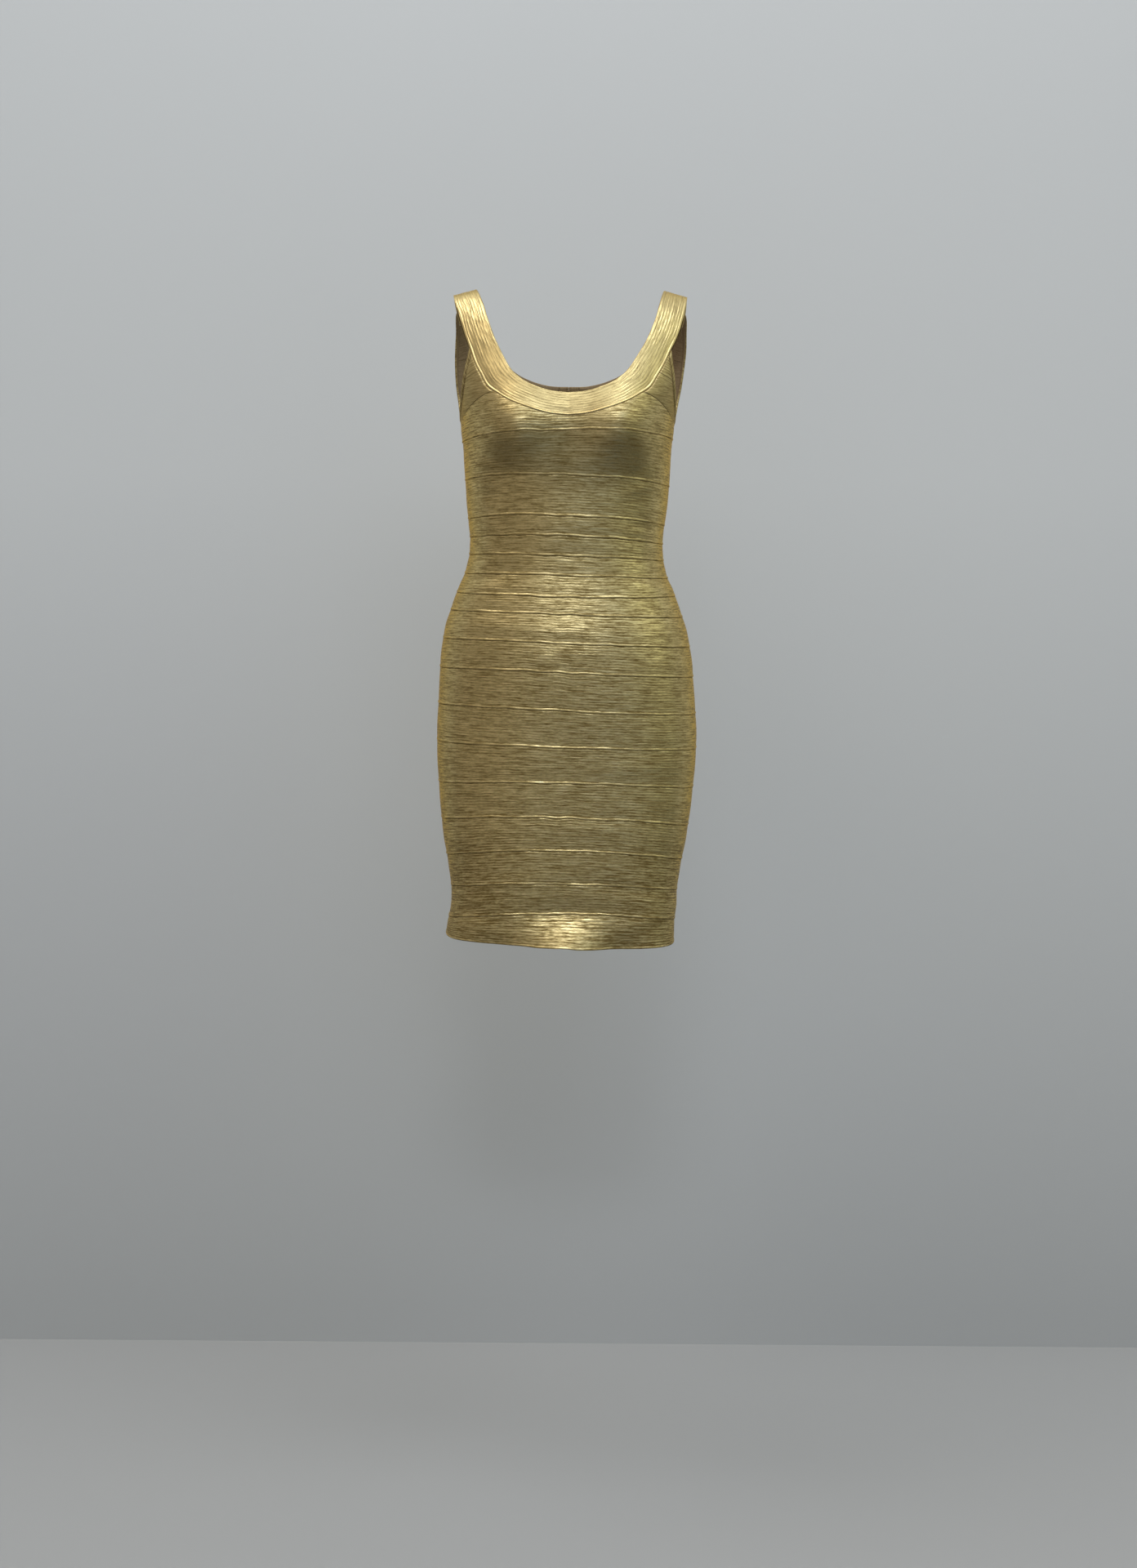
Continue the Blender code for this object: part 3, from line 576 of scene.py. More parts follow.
def foil_finish(name, bright, deep, worn, relief, roughness, coat):
    """Gold foil on knit: broken lines along each rib, fine threads, and dull grooves. The foil is
    rubbed off where the lines stand below the first value of worn, and whole above the second."""
    finish = Finish(name, bright)
    rib = finish.node("ShaderNodeAttribute", {"attribute_name": "rib"}, {}, output=2)
    lines = finish.noise(finish.line_place(along=45, lines=3, apart=7.3), 3.0, 0.6)
    threads = finish.noise(finish.weave(along=180, across=1500), 2.0, 0.6)
    left_on = finish.steps(lines * 0.65 + threads * 0.35, *worn)
    shine = finish.steps(rib * 0.35 + left_on * 0.7, 0.15, 0.95)
    gold = finish.mix(finish.steps(lines, 0.2, 0.7), (*deep, 1), (*bright, 1))
    rough_part = finish.steps(rib, WHOLE_FOIL, 1.0)
    finish.set(
        Base_Color=finish.mix(shine, YARN_DARK, gold),
        Metallic=0.25 + 0.7 * shine,
        Roughness=roughness + 0.25 - 0.2 * shine,
        Specular_Tint=FOIL_EDGE_ON,
        Coat_Weight=coat,
        Coat_Roughness=0.3,
        Normal=finish.bump((lines * 0.7 + threads * 0.3) * rough_part, relief),
    )
    return finish.material


def inside_finish():
    """The unfoiled inner face of the knit: matt tan yarn with fine ribs."""
    finish = Finish("knit_inside", YARN_COLOUR)
    loops = finish.noise(finish.weave(along=700, across=900))
    rows = finish.noise(finish.weave(along=40, across=700))
    relief = loops * 0.5 + rows * 0.5
    finish.set(
        Base_Color=finish.mix(finish.steps(relief, 0.35, 0.65), YARN_HOLLOW, YARN_LIGHT),
        Roughness=0.9,
        Normal=finish.bump(relief, 0.6),
    )
    return finish.material


FOIL = foil_finish(
    "gold_foil_knit", FOIL_BRIGHT, FOIL_DEEP, (0.36, 0.62), relief=0.28, roughness=0.27, coat=0.03
)
INSIDE = inside_finish()


def cloth(name, upper, lower, side, seed, cut=False):
    """A shell between two edges with ribs along it: rows at shares between the edges, each lifted
    by its rib's crest, which is a sine's size, by the sewn ridge and by a slight fullness, and
    shaken by smooth unevenness. The crests and the foil's level follow the wear, and the foil's
    level is lowered at the sides towards the hem as painted shade."""
    width, run = width_and_run(upper, lower, side)
    share, rib, ridge = band_rows(width, cut)
    ribbed = ridge == 0
    on_ridge = RIDGE_FOIL + (1 - RIDGE_FOIL) * ridge
    crest = np.where(ribbed, np.abs(np.sin(np.pi * rib)), on_ridge)
    shake = grain(run / WOBBLE_RUN + seed, rib * 0.6 + seed, 3) * RIB_WOBBLE * ribbed
    shake *= np.sin(np.pi * np.clip(share, 0, 1)) ** 0.5
    places = between(upper, lower, share + shake / width[None])
    dashes = 0.5 * grain(run / LONG_DASH + 7 * seed, np.floor(rib) + 2 * seed, 5)
    dashes = dashes + 0.5 * grain(run / SHORT_DASH + 3 * seed, np.floor(rib) + seed, 6)
    drop, sideways = places[..., 1], np.abs(np.cos(upper[:, 0]))
    calm = 1 - (1 - FLAT_AT_SIDES * sideways**12) * (1 - CALM_SHARE * ramp(drop, *CALM_DROPS))
    strength = (1 + RIB_UNEVENNESS * dashes) * (1 - calm)
    strength *= 1 + WORN_SHARE * ramp(drop, *WORN_DROPS)
    seam = RIDGE_LEAST + (1 - RIDGE_LEAST) * (1 + grain(run / SEAM_RUN + seed, 3 * seed, 7)) / 2
    lift = (
        RIB_HEIGHT * crest * strength * ribbed
        + RIDGE_HEIGHT * ridge * seam[None]
        + PILLOW * np.sin(np.pi * share)
    )
    # Painted shade: towards the hem the foil's level is lowered at the sides, so the foil there is
    # darker and duller.
    painted_shade = ramp(drop, *PAINTED_SHADE_DROPS) * ramp(sideways, *PAINTED_SHADE_SIDES)
    level = crest + (WHOLE_FOIL - crest) * calm - PAINTED_SHADE_SHARE * painted_shade
    outer, inner = lifted(places, side, lift), inner_face(upper, lower, side, rows=5)
    along, across = run + PATTERN_APART * seed, rib * RIB_PITCH
    made = shell(name, outer, inner, level, along, across, FOIL, INSIDE)
    sewn_in(made)


def sewn_in(made):
    """The piece rides on the dress and stands for the solid of its name."""
    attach(made, "dress")
    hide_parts(made.name.removesuffix("_cloth"))


def band_angles(start, end):
    """Angles of a band's columns, drawn back from its ends by half a seam's gap."""
    count = round(HALF_ROUND * abs(end - start) / math.pi / COLUMN_STEP) + 1
    angles = np.linspace(start, end, count)
    direction = math.copysign(1, end - start)
    angles[0] += direction * gap_angle(start)
    angles[-1] -= direction * gap_angle(end)
    return angles


def make_band(name, number, side, start, end):
    """One horizontal band between two seams, counted from 1 under the topmost band."""
    angles = band_angles(start, end)
    half_gap = (0, SEAM_GAP / 2)
    upper = seam_path(number - 1, angles) + half_gap
    lower = seam_path(number, angles) - half_gap
    seed = number + (0.0 if side == FRONT else BACK_SEED) + (RIGHT_SEED if start > end else 0.0)
    cloth(name + "_cloth", upper, lower, side, seed)


for number in range(1, len(SEAMS)):
    name, above = f"front_band_{number + 1:02d}", f"front_band_{number:02d}"
    make_band(name, number, FRONT, SIDE_SEAM, math.pi)

# ---- Back bands ----
# The same knit. The upper bands are cut at the centre back for the zip, and the lower ones run
# from side seam to side seam.

ZIPPED_BANDS = 10

for number in range(1, len(SEAMS)):
    name, above = f"back_band_{number + 1:02d}", f"back_band_{number:02d}"
    if number < ZIPPED_BANDS:
        for word, start in (("left", SIDE_SEAM), ("right", math.pi)):
            make_band(f"{name}_{word}", number, BACK, start, CENTRE)
    else:
        above += "_left" if number == ZIPPED_BANDS else ""
        make_band(name, number, BACK, SIDE_SEAM, math.pi)

# ---- Topmost bands ----
# The first band of the front hangs from the neckband, and a slanting seam on each side ties it
# to the small pieces beside the armhole. The back has the same band, cut in two for the zip.

# Neckband stations from the centre front over the shoulder to the centre back.
NECK_COLUMNS = ("side", "inner_x", "inner_drop", "outer_x", "outer_drop")
NECK_STATIONS = (
    (FRONT, 0.0, 125.0, 0.0, 152.5),
    (FRONT, 20.0, 123.0, 24.0, 150.0),
    (FRONT, 38.0, 117.5, 47.0, 143.5),
    (FRONT, 54.0, 110.0, 68.0, 135.5),
    (FRONT, 65.0, 101.0, 83.0, 126.8),
    (FRONT, 71.5, 93.0, 96.0, 117.5),
    (FRONT, 77.0, 84.0, 104.0, 104.0),
    (FRONT, 83.0, 74.5, 112.0, 89.5),
    (FRONT, 89.0, 64.5, 118.5, 73.5),
    (FRONT, 95.0, 52.0, 126.5, 54.0),
    (FRONT, 101.0, 36.5, 133.0, 32.0),
    (FRONT, 105.5, 21.0, 137.0, 17.0),
    (FRONT, 109.0, 10.0, 139.0, 9.5),
    (FRONT, 111.5, 3.0, 140.3, 3.0),
    (FRONT, 113.0, 0.0, 141.0, 0.0),
    (BACK, 113.5, 3.0, 141.0, 3.0),
    (BACK, 112.5, 10.0, 140.5, 10.0),
    (BACK, 110.0, 21.0, 139.0, 20.0),
    (BACK, 106.0, 36.0, 135.5, 36.0),
    (BACK, 100.0, 52.0, 129.0, 54.0),
    (BACK, 92.0, 66.0, 119.5, 74.0),
    (BACK, 80.0, 79.0, 107.0, 92.0),
    (BACK, 64.0, 90.5, 90.0, 108.0),
    (BACK, 46.0, 98.5, 68.0, 120.5),
    (BACK, 26.0, 103.5, 40.0, 129.0),
    (BACK, 0.0, 105.0, 0.0, 132.5),
)
NECK = table(NECK_COLUMNS, NECK_STATIONS)
SOLID_STATIONS = 34
FINER = 6
NECK_LENGTHWISE = (SOLID_STATIONS - 1) * FINER + 1

# The two slanting seams over each breast and shoulder blade start on the neckband's edge.
UPPER_STATION = {FRONT: 8 * FINER, BACK: 9 * FINER}
CHEST_STATION = {FRONT: 6 * FINER, BACK: 6 * FINER}
BEND_COLUMNS = ("x", "drop")
CHEST_SEAM_BENDS = {
    FRONT: ((104.0, 131.0), (116.0, 141.0), (124.5, 151.5)),
    BACK: ((110.0, 121.0), (122.0, 136.0), (127.5, 149.0)),
}
CHEST_SEAM = {side: table(BEND_COLUMNS, rows) for side, rows in CHEST_SEAM_BENDS.items()}
CHEST_SEAM_END_DROP = 159.5
TOP_BAND_HALF = 220.0
TYPICAL_REACH = 100.0
DROP_ROUNDS = 6


def lay(x, drop, side, hand):
    """Points on the outer face at a distance from the middle towards one hand, where the rounded
    section's own equation gives their depth."""
    middle, half_width, depth, square = section(drop, side)
    y = depth * (1 - (x / half_width) ** square) ** (1 / square)
    y = y + bulge(hand * x, drop, half_width, side)
    return np.stack(np.broadcast_arrays(middle + hand * x, side * y, height(x, drop)), axis=-1)


def place_of(points, side):
    """The angles and drops of points that lie on the skin. Each round corrects the drop, because
    the slope over the shoulders depends on it."""
    drop = WALL - points[:, 2]
    for _ in range(DROP_ROUNDS):
        middle, half_width, _, _ = section(drop, side)
        x = points[:, 0] - middle
        drop = drop + height(x, drop) - points[:, 2]
    y = np.abs(points[:, 1]) - bulge(x, drop, half_width, side)
    return np.stack([np.arctan2(np.maximum(y, 0), x), drop], axis=-1)


def shifted(path, side, distance):
    """A path on the skin moved sideways within it. A minus distance moves it the other way."""
    points = on_skin(path, side)
    along = np.gradient(points, axis=0)
    across = np.cross(outward(path[:, 0], path[:, 1], side), along)
    across /= np.linalg.norm(across, axis=1, keepdims=True)
    return place_of(points + across * distance, side)


def resampled(path, count):
    """A path's points spread evenly along it."""
    run = run_of(path * (TYPICAL_REACH, 1))
    wanted = np.linspace(0, run[-1], count)
    return np.stack([np.interp(wanted, run, path[:, i]) for i in range(2)], axis=-1)


def mirrored(path):
    """The same path on the other half of the dress."""
    return np.stack([math.pi - path[:, 0], path[:, 1]], axis=-1)


def neck_grid(hand, shares):
    """Points over one half of the neckband, at shares of the way from its inner to its outer edge,
    an array of (station, share, xyz)."""
    x, drop = (
        NECK["inner_" + word][:, None] * (1 - shares) + NECK["outer_" + word][:, None] * shares
        for word in ("x", "drop")
    )
    on_front = NECK["side"] == FRONT
    front = lay(x[on_front], drop[on_front], FRONT, hand)
    back = lay(x[~on_front], drop[~on_front], BACK, hand)
    return np.concatenate([front, back])


def along_stations(grid, count, middle):
    """The grid read again at count stations, evenly spread along its middle."""
    run = run_of(middle)
    return smooth(np.linspace(0, run[-1], count), run, grid)


def neck_edge(side):
    """Stations along the neckband's outer edge, from the centre to the shoulder."""
    grid = neck_grid(LEFT, np.array([0.0, 0.5, 1.0]))
    edge = along_stations(grid, NECK_LENGTHWISE, grid[:, 1])[:, 2]
    on_side = edge[edge[:, 1] * side > 0]
    return place_of(on_side if side == FRONT else on_side[::-1], side)


def clear_of_neckband(path, side):
    """A path beside the neckband moved a seam's gap away from it."""
    return shifted(path, side, side * SEAM_GAP)


def chest_seam(side):
    """Places along the slanting seam from the neckband's edge to the top of the side seam."""
    start = neck_edge(side)[[CHEST_STATION[side]]]
    bends = lay(CHEST_SEAM[side]["x"], CHEST_SEAM[side]["drop"], side, LEFT)
    end = [[SIDE_SEAM, CHEST_SEAM_END_DROP]]
    rows = np.concatenate([start, place_of(bends, side), end])
    run = np.arange(len(rows), dtype=float)
    return smooth(np.linspace(0, run[-1], 2 * len(rows) * FINER), run, rows)


def top_band_edge(side):
    """Upper edge of the first band on the wearer's left, from the side seam to the centre."""
    seam = chest_seam(side)[::-1]
    seam[:, 1] += SEAM_GAP / 2
    neck = clear_of_neckband(neck_edge(side)[: CHEST_STATION[side] + 1], side)[::-1]
    edge = resampled(np.concatenate([seam[:-1], neck]), round(TOP_BAND_HALF / COLUMN_STEP))
    edge[-1, 0] = CENTRE
    return edge


def make_top_band(name, side, hands, seed):
    """The band under the neckband, over the whole front or one half of the back."""
    half = top_band_edge(side)
    upper = half if hands[0] == LEFT else mirrored(half)
    if len(hands) == 2:
        upper = np.concatenate([half, mirrored(half)[-2::-1]])
    inwards = math.copysign(1, upper[-1, 0] - upper[0, 0])
    upper[0, 0] += inwards * gap_angle(SIDE_SEAM)
    upper[-1, 0] -= inwards * gap_angle(SIDE_SEAM if len(hands) == 2 else CENTRE)
    lower = seam_path(0, upper[:, 0]) - (0, SEAM_GAP / 2)
    cloth(name, upper, lower, side, seed, cut=True)


make_top_band("front_band_01_cloth", FRONT, (LEFT, RIGHT), seed=31.0)
make_top_band("back_band_01_left_cloth", BACK, (LEFT,), seed=33.0)
make_top_band("back_band_01_right_cloth", BACK, (RIGHT,), seed=34.0)

# ---- Armhole edges ----
# The cut edge of the cloth is turned and sewn down round each armhole, from the front strap
# under the arm to the back strap. Its stitches leave small ribs across it.

HANDS = ((LEFT, "left"), (RIGHT, "right"))
ARMHOLE_EDGES = {
    FRONT: ((119.8, 71.0), (122.0, 84.0), (125.0, 100.0), (127.3, 118.0), (128.9, 134.0)),
    BACK: ((134.5, 128.0), (138.5, 105.0), (141.0, 80.0), (141.5, 50.0), (139.6, 17.5)),
}
ARMHOLE = {side: table(BEND_COLUMNS, rows) for side, rows in ARMHOLE_EDGES.items()}
ARMHOLE_UNDERARM_DROP = 151.0
ARMHOLE_FINE = 160
BINDING_WIDTH, BINDING_HEIGHT, BINDING_RIB = 4.5, 0.7, 0.16
BINDING_STATIONS, BINDING_FINE = 18, 260
BINDING_PATTERN_APART = 900.0
BINDING_FOIL, ROLL_FOIL, STITCH_FOIL = 0.15, 0.2, 0.65
ROLL_SHARES = np.array([0.0, 0.03, 0.12, 0.28, 0.5, 0.72, 0.88, 0.97, 1.0])[:, None]
ROLL_PROFILE = np.array([-0.8, -0.1, 0.55, 0.92, 1.0, 0.92, 0.62, 0.3, 0.0])[:, None]
RIB_CREST, STITCH_CREST = np.array([0.0, 0.7, 1.0, 0.7]), np.array([0.0, 0.2, 1.0, 0.2])


def armhole_edge(side):
    """Places along one side of the armhole's edge, from the strap to the side seam: a smooth curve
    through the points on both sides and the one under the arm."""
    front, back = (
        lay(ARMHOLE[half]["x"], ARMHOLE[half]["drop"], half, LEFT) for half in (FRONT, BACK)
    )
    under = skin(SIDE_SEAM, ARMHOLE_UNDERARM_DROP, FRONT)[None]
    points = np.concatenate([front, under, back])
    run = run_of(points)
    bottom = run[len(front)]
    wanted = np.linspace(0 if side == FRONT else run[-1], bottom, ARMHOLE_FINE)
    path = place_of(smooth(wanted, run, points), side)
    path[-1, 0] = SIDE_SEAM
    return path


def binding_edge(side, distance, count):
    """Stations on the armhole's edge, or moved into the cloth, from the neckband downwards."""
    path = armhole_edge(side)
    if distance:
        path = shifted(path, side, side * distance)
        path[-1, 0] = SIDE_SEAM
    neck = clear_of_neckband(neck_edge(side), side)
    x, neck_x = on_skin(path, side)[:, 0], on_skin(neck, side)[:, 0]
    order = np.argsort(neck[:, 1])
    clear = x - np.interp(path[:, 1], neck[order, 1], neck_x[order])
    first = np.argmax(clear > SEAM_GAP)
    return resampled(path[first:], count)


def make_binding(hand, name):
    """A rolled strip: a rounded profile from the edge into the cloth, carried round the armhole,
    with a small rib across it at every fourth station. Its foil shows most on the stitches."""
    roll = ROLL_PROFILE * BINDING_HEIGHT
    lift = roll + BINDING_RIB * np.tile(RIB_CREST, BINDING_FINE // 4) * (roll > 0)
    outer, inner = [], []
    for side in (FRONT, BACK):
        edge = binding_edge(side, 0, BINDING_FINE)
        within = binding_edge(side, BINDING_WIDTH, BINDING_FINE)
        if hand == RIGHT:
            edge, within = mirrored(edge), mirrored(within)
        outer.append(lifted(between(edge, within, ROLL_SHARES), side, lift))
        inner.append(inner_face(edge, within, side, rows=3))
    outer = np.concatenate([outer[0], outer[1][:, -2::-1]], axis=1)
    inner = np.concatenate([inner[0], inner[1][:, -2::-1]], axis=1)
    along = ROLL_SHARES * BINDING_WIDTH
    across = run_of(outer[len(outer) // 2]) + BINDING_PATTERN_APART * hand
    stitches = np.tile(STITCH_CREST, BINDING_FINE // 2)[: outer.shape[1]]
    on_top = np.abs(ROLL_SHARES - 0.5) < 0.3
    level = BINDING_FOIL + ROLL_FOIL * np.maximum(roll, 0) + STITCH_FOIL * stitches * on_top
    made = shell(name, outer, inner, level, along, across, FOIL, INSIDE)
    sewn_in(made)
    return made


BINDINGS = {hand: make_binding(hand, f"armhole_binding_{word}_cloth") for hand, word in HANDS}

# ---- Shoulder and chest pieces ----
# Two small pieces on each side, front and back, fill the space between the neckband and the
# armhole. Their ribs run from one to the other, and plain seams join them.

UPPER_SEAM_FALL = {FRONT: 8.5, BACK: 9.0}
TIP_WIDTH = 1.2
PANEL_ROWS = 12
PANEL_CREST = np.array([0.0, 0.72, 1.0, 0.72])
PANEL_RIB, PANEL_RUN, PANEL_FOIL = 0.2, 12.0, 0.6
DULL_BRIGHT, DULL_DEEP = (0.74, 0.60, 0.30), (0.50, 0.37, 0.14)

DULL_FOIL = foil_finish(
    "dull_gold_foil_knit", DULL_BRIGHT, DULL_DEEP, (0.25, 0.75), relief=0.25, roughness=0.30, coat=0.02
)


def matched(first, second, side):
    """Both edges at even shares of their lengths, cut back to where they stand apart."""
    count = 4 * max(3, round(run_of(on_skin(first, side))[-1] / RIB_PITCH)) + 1
    first, second = resampled(first, count), resampled(second, count)
    wide = np.nonzero(width_and_run(first, second, side)[0] > TIP_WIDTH)[0]
    return first[wide[0] : wide[-1] + 1], second[wide[0] : wide[-1] + 1]


def drawn_back(edge, start):
    """An edge shortened at one end by half a seam's gap."""
    ends = edge[:2] if start else edge[-1:-3:-1]
    length = np.linalg.norm((ends[1] - ends[0]) * (TYPICAL_REACH, 1))
    edge[0 if start else -1] += (ends[1] - ends[0]) * SEAM_GAP / 2 / length


def small_piece(name, first, second, side, seed):
    """A shell between two edges with ribs across it, from edge to edge. The ribs' crests, which are
    uneven, and a slight fullness lift it."""
    width, run = width_and_run(first, second, side)
    share = np.linspace(0, 1, PANEL_ROWS)[:, None]
    crest = np.tile(PANEL_CREST, len(run) // 4 + 1)[: len(run)]
    along = share * width
    strength = PANEL_RIB * (1 + grain(along / PANEL_RUN + seed, run / RIB_PITCH + seed, 13))
    lift = RIB_HEIGHT * crest * strength + PILLOW * np.sin(np.pi * share)
    outer = lifted(between(first, second, share), side, lift)
    inner = inner_face(first, second, side, rows=4)
    level, along = PANEL_FOIL + (1 - PANEL_FOIL) * crest, along + PATTERN_APART * seed
    made = shell(name, outer, inner, level, along, run, DULL_FOIL, INSIDE)
    sewn_in(made)


def make_upper_pieces(side, hand, names, seed):
    """The two small pieces between the neckband and the armhole, one above the other."""
    neck = clear_of_neckband(neck_edge(side), side)
    arm = shifted(binding_edge(side, BINDING_WIDTH, BINDING_STATIONS), side, side * SEAM_GAP)
    arm[-1, 0] = SIDE_SEAM
    top_drop, seam_drop = arm[0, 1], neck[UPPER_STATION[side], 1]
    meeting = np.argmin(np.abs(neck[:, 1] - top_drop))
    arm_cut = np.argmin(np.abs(arm[:, 1] - seam_drop - UPPER_SEAM_FALL[side]))
    shoulder = neck[UPPER_STATION[side] : meeting + 1][::-1], arm[: arm_cut + 1]
    under = chest_seam(side)
    under[:, 1] -= SEAM_GAP / 2
    chest_neck = neck[CHEST_STATION[side] : UPPER_STATION[side] + 1][::-1]
    chest = np.concatenate([chest_neck, under[1:]]), arm[arm_cut:]
    for i, edges in enumerate((shoulder, chest)):
        first, second = matched(*edges, side)
        for edge in (first, second):
            drawn_back(edge, start=i == 1)
        if hand == RIGHT:
            first, second = mirrored(first), mirrored(second)
        with_pieces = [BINDINGS[hand]] if i == 1 and side == FRONT else []
        small_piece(names[i] + "_cloth", first, second, side, seed + i)


for hand, word in HANDS:
    for side, side_word in ((FRONT, "front"), (BACK, "back")):
        names = (f"{side_word}_shoulder_{word}", f"{side_word}_chest_{word}")
        make_upper_pieces(side, hand, names, seed=40.0 + 4 * hand + 2 * side)

# ---- Neckband ----
# One band of the same knit in a paler foil, its ribs running round the neck. It lies over the
# upper edges of the bodice, makes the two straps, and has a corded outer edge.

NECK_RIBS, ROWS_TO_A_NECK_RIB = 8, 6
NECK_RIB_HEIGHT = 0.26
NECK_LONG_RUN, NECK_SHORT_RUN = 24.0, 7.0
NECK_STRENGTH, NECK_UNEVENNESS, NECK_STRONGEST = 0.9, 1.9, 1.7
NECK_CALM, NECK_EDGE_CALM = 0.8, 0.45
NECK_RIB_ROUNDING = 0.3
TURNED_SHARES, RIBS_START = (0.0, 0.012), 0.03
TURNED_PROFILE, TURNED_FOIL, TURNED_LANES = (-1.0, -0.35), (0.3, 0.4), (-0.4, -0.2)
CORD_SHARE, CORD_HEIGHT, CORD_LEAST = 0.09, 0.9, 0.35
CORD_SHARES = np.array([0.1, 0.28, 0.5, 0.72, 0.9, 1.0])
CORD_PROFILE = np.array([0.45, 0.9, 1.0, 0.85, 0.4, 0.0])
CORD_DROPS = (52.0, 76.0)
PALE_BRIGHT, PALE_DEEP = (0.79, 0.63, 0.29), (0.62, 0.48, 0.21)

PALE_FOIL = foil_finish(
    "pale_gold_foil_knit", PALE_BRIGHT, PALE_DEEP, (0.10, 0.58), relief=0.12, roughness=0.28, coat=0.3
)


def make_neckband():
    """The band's flat grid, from its stations and shares across, moved out along its normals by
    a turned neck edge, the ribs, and the cord that begins below each strap."""
    ribs = np.arange(ROWS_TO_A_NECK_RIB * NECK_RIBS + 1) / (ROWS_TO_A_NECK_RIB * NECK_RIBS)
    ribbed = RIBS_START + ribs * (1 - CORD_SHARE - RIBS_START)
    share = np.concatenate([TURNED_SHARES, ribbed, 1 - CORD_SHARE * (1 - CORD_SHARES)])
    rounded = ((1 - np.cos(ribs * NECK_RIBS * 2 * np.pi)) / 2) ** NECK_RIB_ROUNDING
    crest = np.concatenate([TURNED_FOIL, rounded, np.ones(len(CORD_SHARES))])
    turned_lift = np.concatenate([TURNED_PROFILE, np.zeros(len(share) - len(TURNED_PROFILE))])
    cord_lift = np.concatenate([np.zeros(len(share) - len(CORD_PROFILE)), CORD_PROFILE])
    halves = []
    for hand in (LEFT, RIGHT):
        middle = neck_grid(hand, np.array([0.5]))[:, 0]
        halves.append(along_stations(neck_grid(hand, share), NECK_LENGTHWISE, middle))
    loop = np.concatenate([halves[0][::-1], halves[1][1:]])
    normal = np.cross(np.gradient(loop, axis=0), np.gradient(loop, axis=1))
    normal[[0, -1], :, 0] = 0
    normal /= np.linalg.norm(normal, axis=2, keepdims=True)
    corded = ramp(WALL - loop[..., 2], *CORD_DROPS)
    loop[0, :, 0] += SEAM_GAP / 2
    loop[-1, :, 0] -= SEAM_GAP / 2
    run = run_of(loop[:, len(share) // 2])
    lane = np.concatenate([TURNED_LANES, ribs * NECK_RIBS, NECK_RIBS + CORD_SHARES])
    groove = np.floor(lane + 0.5)
    strength = 0.5 * grain(run[:, None] / NECK_LONG_RUN, groove, 17)
    strength = strength + 0.5 * grain(run[:, None] / NECK_SHORT_RUN, groove, 18)
    calm = corded * (NECK_CALM - NECK_EDGE_CALM * share**2)
    strength = (NECK_STRENGTH + NECK_UNEVENNESS * strength) * (1 - calm)
    lift = (
        NECK_RIB_HEIGHT * crest * np.clip(strength, 0, NECK_STRONGEST) * (cord_lift == 0)
        + CORD_HEIGHT * cord_lift * (CORD_LEAST + (1 - CORD_LEAST) * corded)
        + turned_lift
    )
    outer = (loop + normal * lift[..., None]).transpose(1, 0, 2)
    inner = (loop - normal * WALL)[:, :: len(share) // 6].transpose(1, 0, 2)
    level, across = crest[:, None], lane[:, None] * RIB_PITCH
    made = shell("neckband_cloth", outer, inner, level, run, across, PALE_FOIL, INSIDE)
    sewn_in(made)


make_neckband()

# ---- Zip ----
# A concealed zip closes the centre back from the neckband to the hips. Its woven tapes are sewn
# inside the bands and its nylon teeth meet between them. Outside only the slider shows, with a
# pull tab that hangs from it, both cast metal, polished and gold coloured.

ZIP_TOP, ZIP_END = 104.5, 458.0
TAPE_WIDTH, TAPE_THICK, TAPE_CLEAR = 13.0, 0.5, 0.15
TAPE_ROWS, TAPE_COLUMNS = 160, 6
TOOTH_PITCH, TOOTH_WIDTH, TOOTH_LENGTH, TOOTH_THICK = 1.6, 4.2, 1.0, 1.2
TOOTH_REACH, STOP_WIDTH, STOP_LENGTH, STOP_LOWER = 0.5, 6.0, 2.6, 0.6
TAPE_DARK, TAPE_LIGHT = (0.25, 0.17, 0.08, 1), (0.40, 0.29, 0.15, 1)
NYLON, METAL = (0.46, 0.34, 0.18), (0.83, 0.66, 0.35)


def tape_finish():
    """A tan woven ribbon: short uneven threads along it, in two shades."""
    finish = Finish("zip_tape", TAPE_LIGHT[:3])
    threads = finish.noise(finish.weave(along=260, across=1400))
    finish.set(
        Base_Color=finish.mix(finish.steps(threads, 0.35, 0.65), TAPE_DARK, TAPE_LIGHT),
        Roughness=0.8,
        Normal=finish.bump(threads, 0.5, distance=0.0002),
    )
    return finish.material


def nylon_finish():
    """Moulded nylon, satin, with slight unevenness."""
    finish = Finish("zip_nylon", NYLON)
    uneven = finish.solid_noise(700.0)
    finish.set(
        Base_Color=(*NYLON, 1),
        Roughness=0.35 + 0.2 * uneven,
        Normal=finish.bump(uneven, 0.2, distance=0.0001),
    )
    return finish.material


def metal_finish():
    """Polished gold-coloured metal with faint scratches."""
    finish = Finish("zip_gold_metal", METAL)
    scratches = finish.solid_noise(900.0, detail=3.0)
    finish.set(
        Base_Color=(*METAL, 1),
        Metallic=1.0,
        Roughness=0.2 + 0.14 * scratches,
        Normal=finish.bump(scratches, 0.12, distance=0.0002),
    )
    return finish.material


def inside_back(x, drop, depth):
    """Points inside the centre back, each so far from its line and so deep under the cloth."""
    x, drop, depth = np.broadcast_arrays(x, drop, depth)
    angle = CENTRE - x / section(drop, BACK)[2]
    return lifted(np.stack([angle, drop], axis=-1), BACK, -WALL - TAPE_CLEAR - depth)


def make_tape(word, hand, finish):
    """A ribbon down one side of the opening, just under the bands' inner faces."""
    drop = np.linspace(ZIP_TOP, ZIP_END, TAPE_ROWS)[:, None]
    x = hand * np.linspace(SEAM_GAP, TAPE_WIDTH, TAPE_COLUMNS)
    near, under = inside_back(x, drop, 0.0), inside_back(x, drop, TAPE_THICK)
    run = run_of(near[:, 0])
    made = shell(f"zip_tape_{word}", near, under, 1.0, run[:, None], x, finish, finish)
    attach(made, "dress")


